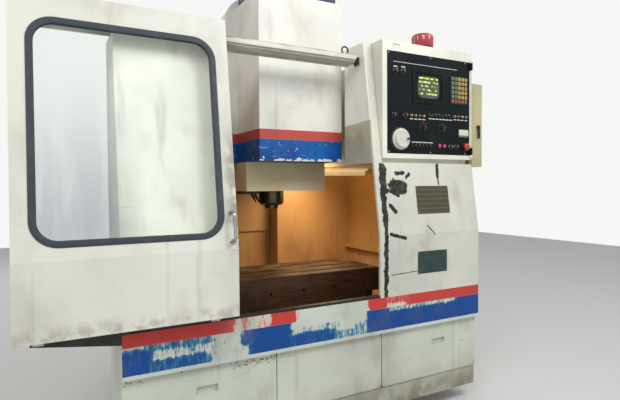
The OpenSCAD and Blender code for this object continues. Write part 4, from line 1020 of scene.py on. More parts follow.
def turned(profile: np.ndarray, centre: Point, axis: Axis, sides: int = 32,
           flute: float = 0.0, flutes: int = 0) -> Surface:
    """Shape turned about an axis.

    Args:
        profile: Rows of (radius, place along the axis) in metres.
        centre: Place where both are 0.
        axis: Axis of the turning.
        sides: Points round the axis.
        flute: Depth of the grooves as a share of the radius.
        flutes: Number of grooves.

    Returns:
        Points r(a) (cos a, sin a) with r(a) = radius (1 - flute (1 - cos(flutes a)) / 2), and
        their faces.
    """
    profile = np.asarray(profile, dtype=float)
    angle = np.linspace(0, TURN, sides, endpoint=False)
    radius = profile[:, :1] * (1 - flute * (1 - np.cos(flutes * angle)) / 2)
    along = np.repeat(profile[:, 1:], sides, axis=1)
    points = axis.places(along, radius * np.cos(angle), radius * np.sin(angle))
    return points + np.array(centre), grid_faces(len(profile), sides)


def swept(path: np.ndarray, section: np.ndarray, side: Point,
          loop: bool = False) -> Surface:
    """Section carried along a flat path.

    Args:
        path: Places in metres.
        section: Rows of (along the side vector, along tangent x side).
        side: Unit vector across the path's plane.
        loop: Whether the path closes on itself.

    Returns:
        Points p(u) + a(v) side + b(v) (t(u) x side), and their faces; open ends are drawn to a
        point.
    """
    if loop:
        tangent = np.roll(path, -1, axis=0) - np.roll(path, 1, axis=0)
    else:
        tangent = np.gradient(path, axis=0)
    tangent /= np.linalg.norm(tangent, axis=1, keepdims=True)
    side = np.array(side)
    out = np.cross(tangent, side)
    points = path[:, None] + section[None, :, :1] * side + section[None, :, 1:] * out[:, None]
    if not loop:
        first = np.repeat(path[:1, None], len(section), axis=1)
        last = np.repeat(path[-1:, None], len(section), axis=1)
        points = np.concatenate([first, points, last])
    return points.reshape(-1, 3), grid_faces(len(points), len(section), loop=loop)


def ring_section(radius: float, sides: int) -> np.ndarray:
    """Round section of a tube: (r cos a, r sin a)."""
    angle = np.linspace(0, TURN, sides, endpoint=False)
    return np.stack([radius * np.cos(angle), radius * np.sin(angle)], axis=-1)


def round_block(low: Point, high: Point, radius: float) -> Surface:
    """Block with rounded edges and corners, one face across each edge.

    Args:
        low: Lowest corner.
        high: Highest corner.
        radius: Edge radius.

    Returns:
        Points c + sign(n) (half - r) + r n, with n over the unit sphere, and their faces.
    """
    low, high = np.array(low), np.array(high)
    radius = min(radius, float((high - low).min()) / 2 * 0.98)
    quarter = np.linspace(0, math.pi / 2, 2)
    turn = np.concatenate([quarter + k * math.pi / 2 for k in range(4)])
    tip = np.concatenate([quarter, quarter + math.pi / 2])
    sign_x, sign_y, sign_z = (np.repeat(signs, 2) for signs in ([1, -1, -1, 1], [1, 1, -1, -1],
                                                                [1, -1]))
    t, f = np.meshgrid(tip, turn, indexing="ij")
    normal = np.stack([np.sin(t) * np.cos(f), np.sin(t) * np.sin(f), np.cos(t)], axis=-1)
    sign = np.stack(np.broadcast_arrays(sign_x[None], sign_y[None], sign_z[:, None]), axis=-1)
    points = (low + high) / 2 + sign * ((high - low) / 2 - radius) + radius * normal
    columns = len(turn)
    corner = np.arange(4) * 2
    caps = np.stack([corner, (len(tip) - 1) * columns + corner[::-1]])
    faces = np.concatenate([grid_faces(len(tip), columns), caps])
    return points.reshape(-1, 3), faces


def tipped(points: np.ndarray, face_y: float) -> np.ndarray:
    """Tips points back about the bend of a face.

    Args:
        points: Places with Y counted from the face and Z from the bend, along the slope.
        face_y: Y of the face at the bend.

    Returns:
        Places (x, face + y cos l + z sin l, bend - y sin l + z cos l), with l the lean.
    """
    x, y, z = points[:, 0], points[:, 1], points[:, 2]
    c, s = math.cos(LEAN), math.sin(LEAN)
    return np.stack([x, face_y + y * c + z * s, BEND_Z - y * s + z * c], axis=-1)


def round_frame(x0: float, z0: float, width: float, height: float, radius: float) -> np.ndarray:
    """Closed path round a rectangle with round corners, in the plane Y = 0.

    Args:
        x0: Left edge.
        z0: Lower edge.
        width: Width.
        height: Height.
        radius: Corner radius.

    Returns:
        Places: each corner's centre + radius (cos a, sin a) over its quarter turn.
    """
    steps = 14
    quarter = np.linspace(0, math.pi / 2, steps)
    low_x, high_x = x0 + radius, x0 + width - radius
    low_z, high_z = z0 + radius, z0 + height - radius
    corners = [(high_x, high_z), (low_x, high_z), (low_x, low_z), (high_x, low_z)]
    path = [np.stack([x + radius * np.cos(quarter + k * math.pi / 2), np.zeros(steps),
                      z + radius * np.sin(quarter + k * math.pi / 2)], axis=-1)
            for k, (x, z) in enumerate(corners)]
    return np.concatenate(path)


def dome(radius: float, height: float, base: float, steps: int = 4) -> np.ndarray:
    """Profile of a dome on a short skirt.

    Args:
        radius: Radius of its foot.
        height: Height of the cap over the skirt.
        base: Height of the skirt.
        steps: Points along the cap.

    Returns:
        Rows (radius cos a, base + height sin a), after the skirt's foot.
    """
    angle = np.linspace(0, math.pi / 2, steps)
    cap = np.stack([radius * np.cos(angle), base + height * np.sin(angle)], axis=-1)
    return np.concatenate([[[0, 0], [radius, 0]], cap])


def pin(radius: float, low: float, high: float) -> np.ndarray:
    """Profile of a plain closed cylinder between two heights."""
    return np.array([[0, low], [radius, low], [radius, high], [0, high]])


def toward_front(profile: np.ndarray) -> np.ndarray:
    """Turns a profile's direction so that it rises toward the front, which is -Y."""
    return np.asarray(profile) * np.array([1.0, -1.0])


@dataclass
class Studio:
    """Pale floor, soft lights, and the camera of the photograph."""

    camera_place: Point = (-1.296282, -3.120153, 1.285178)
    yaw: float = math.radians(28.8085)
    pitch: float = math.radians(1.5431)
    roll: float = math.radians(0.35573)
    image_width: float = 620.0
    focal_pixels: float = 491.913
    centre_rise_pixels: float = 1.903
    sensor: float = 36.0
    floor_half: float = 9.0
    even_light: float = 0.49

    LAMPS = (
        ("key", (-4.1, -4.2, 4.6), (0.0, -0.6, 1.4), 2.4, 116, (1.0, 0.99, 0.97)),
        ("top", (0.75, -3.0, 3.25), (0.0, -0.6, 1.7), 1.0, 38, (1.0, 0.99, 0.97)),
        ("fill", (3.4, -3.4, 5.0), (0.2, -0.6, 1.1), 2.4, 50, (0.97, 0.985, 1.0)),
        ("back", (0.5, 5.4, 4.2), (0.0, 0.3, 1.3), 3.0, 90, (1.0, 1.0, 1.0)),
        ("work_light", (0.40, -0.20, 1.36), (0.0, -0.05, 0.80), 0.35, 7, (1.0, 0.76, 0.48)),
    )

    def camera(self) -> None:
        """Places the camera: its back axis is minus the forward vector, its right axis rolled."""
        forward = Vector((math.sin(self.yaw) * math.cos(self.pitch),
                          math.cos(self.yaw) * math.cos(self.pitch), -math.sin(self.pitch)))
        level = Vector((math.cos(self.yaw), -math.sin(self.yaw), 0.0))
        down = forward.cross(level)
        right = math.cos(self.roll) * level + math.sin(self.roll) * down
        down = -math.sin(self.roll) * level + math.cos(self.roll) * down
        data = bpy.data.cameras.new("camera")
        data.sensor_width = self.sensor
        data.lens = self.sensor * self.focal_pixels / self.image_width
        data.shift_y = -self.centre_rise_pixels / self.image_width
        data.clip_end = 60
        thing = bpy.data.objects.new("camera", data)
        turn = Matrix((right, -down, -forward)).transposed().to_4x4()
        thing.matrix_world = Matrix.Translation(Vector(self.camera_place)) @ turn
        bpy.context.scene.collection.objects.link(thing)
        bpy.context.scene.camera = thing

    def floor(self) -> None:
        """Lays the floor, a plain pale plane that keeps the machine's shadow."""
        mesh = bpy.data.meshes.new("floor")
        half = self.floor_half
        corners = [(-half, -half, 0), (half, -half, 0), (half, half, 0), (-half, half, 0)]
        mesh.from_pydata(corners, [], [(0, 1, 2, 3)])
        mesh.materials.append(Shader("floor_paint").close(srgb(214, 214, 212), 0.85))
        thing = bpy.data.objects.new("floor", mesh)
        bpy.context.scene.collection.objects.link(thing)

    def world(self) -> None:
        """Lights the room evenly and shows it white to the camera, to metal and to glass."""
        world = bpy.data.worlds.new("studio")
        bpy.context.scene.world = world
        world.use_nodes = True
        tree = world.node_tree
        tree.nodes.clear()
        seen = tree.nodes.new("ShaderNodeLightPath")
        straight, shown = (tree.nodes.new("ShaderNodeMath") for _ in range(2))
        straight.operation = shown.operation = "MAXIMUM"
        even, white = (tree.nodes.new("ShaderNodeBackground") for _ in range(2))
        even.inputs["Color"].default_value = (0.96, 0.98, 1.0, 1)
        even.inputs["Strength"].default_value = self.even_light
        white.inputs["Color"].default_value = (0.93, 0.93, 0.92, 1)
        blend = tree.nodes.new("ShaderNodeMixShader")
        output = tree.nodes.new("ShaderNodeOutputWorld")
        for source, target in ((seen.outputs["Is Camera Ray"], straight.inputs[0]),
                               (seen.outputs["Is Transmission Ray"], straight.inputs[1]),
                               (straight.outputs[0], shown.inputs[0]),
                               (seen.outputs["Is Glossy Ray"], shown.inputs[1]),
                               (shown.outputs[0], blend.inputs[0]),
                               (even.outputs[0], blend.inputs[1]),
                               (white.outputs[0], blend.inputs[2]),
                               (blend.outputs[0], output.inputs[0])):
            tree.links.new(source, target)

    def lamp(self, name: str, place: Point, aim: Point, size: float, power: float,
             colour: Colour) -> None:
        """Hangs one square lamp.

        Args:
            name: Name.
            place: Where it hangs.
            aim: Point that it faces.
            size: Edge length.
            power: Watts.
            colour: Colour of the light.
        """
        data = bpy.data.lights.new(name, "AREA")
        data.size = size
        data.energy = power
        data.color = colour
        thing = bpy.data.objects.new(name, data)
        thing.location = place
        toward = Vector(aim) - Vector(place)
        thing.rotation_euler = toward.to_track_quat("-Z", "Y").to_euler()
        thing.visible_camera = thing.visible_transmission = False
        bpy.context.scene.collection.objects.link(thing)

    def build(self) -> None:
        """Sets the whole studio and a plain view of its colours."""
        bpy.context.scene.view_settings.view_transform = "Standard"
        self.camera()
        self.floor()
        self.world()
        for lamp in self.LAMPS:
            self.lamp(*lamp)


@dataclass
class Parts:
    """Pieces of one region of the machine, made with the finishes in the store."""

    store: dict[str, Material]

    def piece(self, mesh: Mesh, name: str, body: Body, slot: str, *finishes: str,
              smooth: bool = True, replaces: tuple[str, ...] = ()) -> None:
        """Makes an object, joins doubles, turns faces outwards and puts it on its body.

        Args:
            mesh: Its points and faces.
            name: Name of the piece.
            body: Body that it rides on.
            slot: Material slot of the record.
            *finishes: Finishes in the order of the ink numbers; without any, the slot's own.
            smooth: Whether edges under 35 degrees are shaded smooth.
            replaces: Frame nodes that it stands for.
        """
        data = bpy.data.meshes.new(name)
        points, faces = np.concatenate(mesh.points), np.concatenate(mesh.faces)
        data.from_pydata(points.tolist(), [], faces.tolist())
        for finish in finishes or (slot,):
            data.materials.append(self.store[finish])
        inks = np.concatenate(mesh.inks).astype(np.int32)
        data.polygons.foreach_set("material_index", inks)
        tidy = bmesh.new()
        tidy.from_mesh(data)
        bmesh.ops.remove_doubles(tidy, verts=tidy.verts, dist=1e-6)
        bmesh.ops.dissolve_degenerate(tidy, edges=tidy.edges, dist=1e-7)
        bmesh.ops.recalc_face_normals(tidy, faces=tidy.faces)
        tidy.to_mesh(data)
        tidy.free()
        if smooth:
            data.polygons.foreach_set("use_smooth", np.ones(len(data.polygons), dtype=bool))
            data.set_sharp_from_angle(angle=math.radians(35))
        thing = bpy.data.objects.new(name, data)
        bpy.context.scene.collection.objects.link(thing)
        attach(thing, body.value)
        if replaces:
            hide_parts(*replaces)
        LOG.info("%s: %d faces", name, len(data.polygons))


@dataclass
class DoorParts(Parts):
    """Rubber seal, handle and bolts of the sliding door."""

    left: float = -1.391
    width: float = 0.841
    face_y: float = FACE_Y - 0.078
    seal_left: float = 0.056
    seal_low: float = 0.046
    seal_width: float = 0.729
    seal_height: float = 0.880
    seal_radius: float = 0.100
    seal_wide: float = 0.027
    seal_out: float = 0.004
    seal_in: float = 0.016
    seal_lip: float = 0.0072
    handle_in: float = 0.026
    handle_up: float = 0.030
    handle_length: float = 0.125
    handle_reach: float = 0.046
    handle_bend: float = 0.020
    bar: float = 0.0065
    hanger_in: float = 0.150
    hanger_back: float = 0.190
    hanger_top: float = 2.0033
    bolt_step: float = 0.018
    pin_y: float = SPINDLE_Y - 0.643
    pin_z: float = 2.0133

    ROSETTE = [(0, 0.001), (0.0135, 0.001), (0.0135, -0.003), (0.011, -0.0052), (0, -0.0052)]
    NUT = [(0, 0), (0.010, 0), (0.011, -0.001), (0.011, -0.007), (0, -0.0075)]

    def seal(self) -> None:
        """Carries a lipped section round the window: path = round rectangle, section = flat D."""
        half = self.seal_wide / 2
        path = round_frame(self.left + self.seal_left + half, self.seal_low + half,
                           self.seal_width - self.seal_wide, self.seal_height - self.seal_wide,
                           self.seal_radius - half)
        angle = np.linspace(0, math.pi, 9)
        rise = self.seal_out * (0.25 + 0.75 * np.sin(angle) ** 0.6)
        crown = np.stack([half * np.cos(angle), -rise], axis=-1)
        lip = self.seal_lip - half
        section = np.concatenate([crown, [(-half, self.seal_in), (lip, self.seal_in),
                                          (lip, 0.0005), (half, 0.0005)]])
        section = np.stack([section[:, 1], -section[:, 0]], axis=-1)
        points, faces = swept(path, section, (0, 1, 0), loop=True)
        mesh = Mesh().add(tipped(points, self.face_y), faces)
        self.piece(mesh, "window_seal", Body.DOOR, "seal_rubber", replaces=("door_seal",))

    def handle(self) -> None:
        """Bends a bar into a D: foot, quarter turn, grip, quarter turn, foot."""
        x = self.left + self.width - self.handle_in
        low, high = self.handle_up, self.handle_up + self.handle_length
        bend = self.handle_bend
        out = bend - self.handle_reach + self.bar
        quarter = np.linspace(0, math.pi / 2, 10)
        side = np.full(len(quarter), x)
        lower = np.stack([side, out - bend * np.sin(quarter),
                          low + bend - bend * np.cos(quarter)], axis=-1)
        upper = np.stack([side, out - bend * np.cos(quarter),
                          high - bend + bend * np.sin(quarter)], axis=-1)
        path = np.concatenate([[(x, 0.0, low)], lower, upper, [(x, 0.0, high)]])
        shapes = [swept(path, ring_section(self.bar, 16), (1, 0, 0))]
        shapes += [turned(self.ROSETTE, (x, 0, z), Axis.Y, 24) for z in (low, high)]
        mesh = Mesh()
        for points, faces in shapes:
            mesh.add(tipped(points, self.face_y), faces)
        self.piece(mesh, "door_grip", Body.DOOR, "chrome", replaces=("door_handle",))

    def bolts(self) -> None:
        """Puts two bolt heads on each roller hanger and a nut on each pin."""
        mesh = Mesh()
        head = dome(0.0075, 0.004, 0.003)
        for x in (self.left + self.hanger_in, self.left + self.width - self.hanger_in):
            for step in (-self.bolt_step, self.bolt_step):
                place = (x + step, self.face_y + self.hanger_back, self.hanger_top)
                mesh.add(*turned(head, place, Axis.Z, 12))
            mesh.add(*turned(self.NUT, (x, self.pin_y, self.pin_z), Axis.Y, 6))
        self.piece(mesh, "hanger_bolts", Body.DOOR, "bright_steel", smooth=False)

    def build(self) -> None:
        """Builds the door's pieces."""
        self.seal()
        self.handle()
        self.bolts()


@dataclass
class PanelParts(Parts):
    """Lamps, levers, bezels, blank legends, screen, handwheel and stop of the control panel.

    Places and sizes on the panel are in millimetres from its lower left corner.
    """

    left: float = 0.350
    low: float = 1.455
    width: float = 610
    height: float = 550
    face_y: float = SPINDLE_Y - 0.746
    wheel: Spot = (88, 78)
    wheel_radius: float = 58
    wheel_thick: float = 26
    dials: tuple[Spot, ...] = ((253, 153), (395, 153))
    stop: Spot = (575, 49)
    stop_radius: float = 21
    stop_travel: float = 6
    screen: Spot = (292, 376)
    screen_half: Spot = (98, 76)

    LAMPS = [(166 + 30 * k, 212) for k in range(4)] + [(492 + 30 * k, 225) for k in range(4)]
    LEVERS = [(302 + 26 * k, 222) for k in range(7)]
    BUTTONS = [(180 + 26 * k, 48) for k in range(6)]
    KNOBS = [(55, 446), (108, 448), (44, 208), (124, 208), (459, 46), (503, 47)]
    KNOB_CAP = [(0, 0), (0.0128, 0), (0.0128, 0.0025), (0.0122, 0.004), (0.0118, 0.0135),
                (0.0105, 0.0150), (0, 0.0152)]

    def at(self, x: float, z: float, out: float = 0.0) -> Point:
        """Place on the panel, from millimetres right of and above its lower left corner."""
        return self.left + x * MM, self.face_y - out * MM, self.low + z * MM

    def turn(self, mesh: Mesh, profile: np.ndarray, spot: Spot, sides: int, out: float = 0.0,
             ink: int = 0, flute: float = 0.0, flutes: int = 0) -> None:
        """Adds a profile turned about the panel's normal.

        Args:
            mesh: Mesh that gets it.
            profile: Rows of (radius, height over the panel) in metres.
            spot: Middle on the panel in millimetres.
            sides: Points round the middle.
            out: Height of the profile's foot in millimetres.
            ink: Number of its material.
            flute: Depth of the grooves as a share of the radius.
            flutes: Number of grooves.
        """
        points, faces = turned(toward_front(profile), self.at(*spot, out), Axis.Y, sides, flute,
                               flutes)
        mesh.add(points, faces, ink)

    def lenses(self) -> None:
        """Domes of the lamps, in three colours by turns."""
        mesh = Mesh()
        for k, spot in enumerate(self.LAMPS):
            self.turn(mesh, dome(0.0062, 0.0045, 0.0012, 6), spot, 18, out=4, ink=k % 3)
        self.piece(mesh, "lamp_lenses", Body.PANEL, "lamp_white", "amber_lens", "green_lens",
                   "red_lens")

    def bezels(self) -> None:
        """Rings round lamps, levers, buttons and knobs: a small rounded section turned about."""
        mesh = Mesh()
        rings = ((self.LAMPS, 8.2), (self.LEVERS, 7.4), (self.BUTTONS, 9.6), (self.KNOBS, 13.8))
        for spots, radius in rings:
            r = radius * MM
            inner = r - 0.0016
            ring = [(inner, 0), (r, 0), (r, 0.0012), (r - 0.0006, 0.0020), (inner, 0.0020),
                    (inner, 0)]
            for spot in spots:
                self.turn(mesh, ring, spot, 24, out=-0.2)
        self.piece(mesh, "switch_bezels", Body.PANEL, "bright_steel")

    def levers(self) -> None:
        """Bat levers of the toggle switches: a tapered rod that tilts up or down by turns."""
        mesh = Mesh()
        sides = 10
        along = np.linspace(0, 0.017, 7)
        width = np.interp(along, [0, 0.004, 0.014, 0.017], [0.0014, 0.0016, 0.0030, 0.0012])
        size = np.concatenate([[0], width, [0]]).repeat(sides)[:, None]
        for k, spot in enumerate(self.LEVERS):
            tilt = math.radians(22 if k % 3 else -22)
            step = np.array([0, -math.cos(tilt), math.sin(tilt)])
            path = np.array(self.at(*spot, 1)) + along[:, None] * step
            points, faces = swept(path, ring_section(1.0, sides), (1, 0, 0))
            spine = np.concatenate([path[:1], path, path[-1:]]).repeat(sides, axis=0)
            mesh.add(spine + (points - spine) * size, faces)
        self.piece(mesh, "toggle_levers", Body.PANEL, "bright_steel")

    def knob_caps(self) -> None:
        """Fluted caps with a white line over the small knobs."""
        mesh = Mesh()
        for x, z in self.KNOBS:
            self.turn(mesh, self.KNOB_CAP, (x, z), 48, out=0.2, flute=0.09, flutes=12)
            low, high = self.at(x - 0.8, z + 1, 15.9), self.at(x + 0.8, z + 10, 15.0)
            mesh.add(*round_block(low, high, 0.0003), ink=1)
        self.piece(mesh, "knob_caps", Body.PANEL, "dark_plastic", "dark_plastic", "white_plastic")

    def legends(self) -> None:
        """Blank legend plates at the switches, a card on the right and a green strip below it."""
        blocks = [(x + left, z + up, -2 * left, height, 0)
                  for spots, left, up, height in ((self.LEVERS, -10, -24, 6),
                                                  (self.LAMPS, -11, -22, 5),
                                                  (self.KNOBS[:2], -14, 20, 6),
                                                  (self.BUTTONS, -12, 14, 5))
                  for x, z in spots]
        blocks += [(40, 494, 470, 3, 0), (526, 116, 76, 34, 0), (526, 106, 76, 8, 1)]
        mesh = Mesh()
        for x, z, width, height, ink in blocks:
            low, high = self.at(x, z, 0.9), self.at(x + width, z + height, -0.2)
            mesh.add(*round_block(low, high, 0.0004), ink=ink)
        self.piece(mesh, "blank_legends", Body.PANEL, "white_plastic", "white_plastic",
                   "green_plastic", smooth=False)

    def scales(self) -> None:
        """Tick marks on an arc round each dial and the handwheel: angle = k step from the top."""
        mesh = Mesh()
        length, long_share = 3.5, 1.6
        groups = [(spot, 21.5, 11, 27.0) for spot in self.dials] + [(self.wheel, 61.0, 50, 7.2)]
        for spot, radius, count, step in groups:
            for k in range(count):
                angle = math.radians((k - (count - 1) / 2) * step)
                c, s = math.cos(angle), math.sin(angle)
                end = radius + length * (long_share if k % 5 == 0 else 1.0)
                points, faces = round_block((-0.0004, -0.0005, radius * MM),
                                            (0.0004, 0.0002, end * MM), 0.0001)
                x, y, z = points.T
                points = np.stack([x * c + z * s, y, z * c - x * s], axis=-1)
                mesh.add(points + np.array(self.at(*spot)), faces)
        self.piece(mesh, "dial_scales", Body.PANEL, "white_plastic", smooth=False)

    def screws(self) -> None:
        """Pan head screws at the panel's edge."""
        mesh = Mesh()
        for x in (10, self.width / 2, self.width - 36):
            for z in (9, self.height - 9):
                self.turn(mesh, dome(0.0042, 0.0018, 0.0006), (x, z), 14)
        self.piece(mesh, "panel_screws", Body.PANEL, "bright_steel")

    def glass(self) -> None:
        """Bulged face of the picture tube: out = bulge (1 - u^4) (1 - v^4) - depth."""
        (x, z), (half_w, half_h) = self.screen, self.screen_half
        bulge, depth, columns, rows = 4.2, 3.4, 25, 21
        u, v = np.meshgrid(np.linspace(-1, 1, columns), np.linspace(-1, 1, rows), indexing="ij")
        out = bulge * (1 - u ** 4) * (1 - v ** 4) - depth
        front = np.stack(self.at(x + u * half_w, z + v * half_h, out), axis=-1).reshape(-1, 3)
        mesh = Mesh().add(front, grid_faces(columns, rows, around=False))
        self.piece(mesh, "screen_face", Body.PANEL, "screen_glass", "screen_face")

    def handwheel(self) -> None:
        """Turned wheel with a knurled rim and a crank knob."""
        r, t = self.wheel_radius * MM, self.wheel_thick * MM
        rim = [(0, 0.0003), (r - 0.002, 0.0003), (r, 0.002), (r, t * 0.45),
               (r - 0.003, t * 0.50), (r * 0.86, t * 0.50)]
        face = [(r * 0.86, t * 0.40), (r * 0.86, t * 0.50), (r * 0.84, t * 0.60),
                (r * 0.78, t * 0.96), (r * 0.74, t), (r * 0.60, t * 0.93), (r * 0.28, t * 0.93),
                (r * 0.26, t * 0.98), (0, t * 0.98)]
        knob = [(0, t * 0.9), (0.0055, t * 0.9), (0.0055, t), (0.0068, t + 0.004),
                (0.0070, t + 0.014), (0.0055, t + 0.019), (0, t + 0.020)]
        mesh = Mesh()
        self.turn(mesh, rim, self.wheel, 180, flute=0.022, flutes=60)
        self.turn(mesh, face, self.wheel, 72)
        crank = (self.wheel[0] + self.wheel_radius * 0.55, self.wheel[1])
        self.turn(mesh, knob, crank, 24, ink=1)
        self.turn(mesh, pin(0.005, -0.013, 0.001), self.wheel, 20, ink=1)
        self.piece(mesh, "wheel_turned", Body.HANDWHEEL, "white_plastic", "white_plastic",
                   "dark_plastic", replaces=("handwheel",))

    def stop_button(self) -> None:
        """Turned mushroom head of the emergency stop, on its stem, and the collar under it."""
        r, t = self.stop_radius * MM, self.stop_travel * MM
        head = [(0, t + 0.001), (r * 0.66, t + 0.001), (r * 0.72, t + 0.0025),
                (r * 0.96, t + 0.0075), (r, t + 0.0100), (r * 0.97, t + 0.0130),
                (r * 0.86, t + 0.0160), (r * 0.60, t + 0.0178), (0, t + 0.0180)]
        mesh = Mesh()
        self.turn(mesh, head, self.stop, 40)
        self.turn(mesh, pin(0.005, -0.013, t + 0.002), self.stop, 20, ink=1)
        self.piece(mesh, "stop_mushroom", Body.STOP, "red_plastic", "red_plastic",
                   "dark_plastic", replaces=("emergency_stop",))
        inner, outer, high = 0.0062, r + 0.004, 0.0008
        ring = [(inner, 0), (outer, 0), (outer, high), (inner, high), (inner, 0)]
        collar = Mesh()
        self.turn(collar, ring, self.stop, 40, out=-0.1)
        self.piece(collar, "stop_collar", Body.PANEL, "key_plastic", "dark_plastic")

    def build(self) -> None:
        """Builds all pieces of the panel."""
        self.lenses()
        self.bezels()
        self.levers()
        self.knob_caps()
        self.legends()
        self.scales()
        self.screws()
        self.glass()
        self.handwheel()
        self.stop_button()


@dataclass
class BallScrews(Parts):
    """Threaded shafts of the three drives."""

    radius: float = 0.016
    depth: float = 0.0022
    pitch: float = 0.012
    smooth_end: float = 0.034
    sides: int = 20
    steps: int = 7

    def thread(self, name: str, body: Body, axis: Axis) -> None:
        """Shaft with a groove: r = radius - depth (0.5 + 0.5 cos(2 pi s / pitch - a)) ** 3.

        Args:
            name: Name of the piece.
            body: Body that it rides on; the frame node has the same name.
            axis: Axis of the shaft.
        """
        low, high = node_box(body.value)
        start, stop = float(low[axis.value]), float(high[axis.value])
        centre = (low + high) / 2
        centre[axis.value] = 0.0
        along = np.append(np.arange(start, stop, self.pitch / self.steps), stop)
        angle = np.linspace(0, TURN, self.sides, endpoint=False)
        s, a = np.meshgrid(along, angle, indexing="ij")
        edge = np.clip(np.minimum(s - start, stop - s) / self.smooth_end - 0.9, 0, 1)
        groove = (0.5 + 0.5 * np.cos(TURN * s / self.pitch - a)) ** 3
        radius = np.pad(self.radius - self.depth * groove * edge, ((1, 1), (0, 0)))
        s, a = (np.pad(part, ((1, 1), (0, 0)), mode="edge") for part in (s, a))
        points = axis.places(s, radius * np.cos(a), radius * np.sin(a)) + centre
        mesh = Mesh().add(points, grid_faces(len(along) + 2, self.sides))
        self.piece(mesh, name, body, "bright_steel", replaces=(body.value,))

    def build(self) -> None:
        """Builds the three shafts at the frame's own places."""
        self.thread("saddle_screw", Body.Y_SCREW, Axis.Y)
        self.thread("table_screw", Body.X_SCREW, Axis.X)
        self.thread("head_screw", Body.Z_SCREW, Axis.Z)


@dataclass
class CoverParts(Parts):
    """Plates, screws, louvres and the beacon on the covers."""

    head_front_y: float = SPINDLE_Y - 0.430
    panel_front_y: float = FACE_Y + 0.0252

    PANEL_SCREWS_X = (-1.005, -0.340, -0.30, 0.272, 0.305, 0.967)
    PLATE_THICK = (-0.0016, 0.0004)

    def plates(self) -> None:
        """Two dark plates without lettering on the cabinet, one on the slope, one below it."""
        below, above = self.PLATE_THICK
        low_s, high_s = ((z - BEND_Z) / math.cos(LEAN) for z in (1.120, 1.275))
        points, faces = round_block((0.529, below, low_s), (0.768, above, high_s), 0.0006)
        upper = Mesh().add(tipped(points, FACE_Y), faces)
        lower = Mesh().add(*round_block((0.515, FACE_Y + below, 0.792),
                                        (0.729, FACE_Y + above, 0.915), 0.0006))
        for plate, name, finish in ((upper, "upper_plate", "bronze_plate"),
                                    (lower, "lower_plate", "green_plate")):
            self.piece(plate, name, Body.MACHINE, "panel_black", finish, smooth=False)
        mesh = Mesh()
        head = toward_front(dome(0.0032, 0.0014, 0.0004))
        for x in (0.536, 0.761):
            for s in (low_s + 0.007, high_s - 0.007):
                points, faces = turned(head, (x, -0.0014, s), Axis.Y, 12)
                mesh.add(tipped(points, FACE_Y), faces)
        for x in (0.522, 0.722):
            for z in (0.799, 0.908):
                mesh.add(*turned(head, (x, FACE_Y - 0.0014, z), Axis.Y, 12))
        self.piece(mesh, "plate_rivets", Body.MACHINE, "bright_steel")

    def screw_rows(self) -> None:
        """Dark screws of the striped cover in two pairs, bright ones at the lower panels."""
        rows = (("cover_screws", Body.HEAD, "dark_steel", dome(0.0055, 0.0020, 0.0006),
                 (-0.130, 0.085), self.head_front_y + 0.0002, (1.515, 1.463), 14),
                ("front_screws", Body.MACHINE, "bright_steel", dome(0.0048, 0.0022, 0.0005),
                 self.PANEL_SCREWS_X, self.panel_front_y, (0.213, 0.482), 12))
        for name, body, steel, head, across, y, up, sides in rows:
            mesh = Mesh()
            for x in across:
                for z in up:
                    mesh.add(*turned(toward_front(head), (x, y, z), Axis.Y, sides))
            self.piece(mesh, name, body, steel)

    def beacon(self) -> None:
        """Fluted beacon lens on a dark foot."""
        low, high = node_box("beacon")
        centre = ((low[0] + high[0]) / 2, (low[1] + high[1]) / 2, low[2])
        radius, height = float(high[0] - low[0]) / 2, float(high[2] - low[2])
        lens = [(0, 0.010), (radius * 0.97, 0.010), (radius, 0.014), (radius, height - 0.016),
                (radius * 0.97, height - 0.008), (radius * 0.86, height - 0.001), (0, height)]
        mesh = Mesh().add(*turned(pin(radius * 0.90, 0, 0.011), centre, Axis.Z, 48), ink=1)
        mesh.add(*turned(lens, centre, Axis.Z, 144, 0.03, 36), ink=0)
        self.piece(mesh, "beacon_lens", Body.MACHINE, "red_plastic", "red_lens_body",
                   "dark_plastic", replaces=("beacon",))

    def louvres(self) -> None:
        """Pressed louvres on the rear cabinet's doors: each a quarter-round lip."""
        mesh = Mesh()
        low, high = node_box("electrical_cabinet")
        reach, half, pitch, count = 0.010, 0.12, 0.024, 9
        angle = np.linspace(0, math.pi / 2, 5)
        lip = np.stack([reach * np.cos(angle), reach * np.sin(angle)], axis=-1)
        section = np.concatenate([lip, [(-0.0005, reach), (-0.0005, 0.0)]])
        back = high[1] - 0.014
        for x in (low[0] + 0.200, high[0] - 0.200):
            for k in range(count):
                z = low[2] + 0.16 + pitch * k
                path = np.array([(x - half, back, z), (x, back, z), (x + half, back, z)])
                mesh.add(*swept(path, section, (0, 1, 0)))
        self.piece(mesh, "rear_louvres", Body.MACHINE, "cream_paint", smooth=False)

    def build(self) -> None:
        """Builds the covers' pieces."""
        self.plates()
        self.screw_rows()
        self.beacon()
        self.louvres()


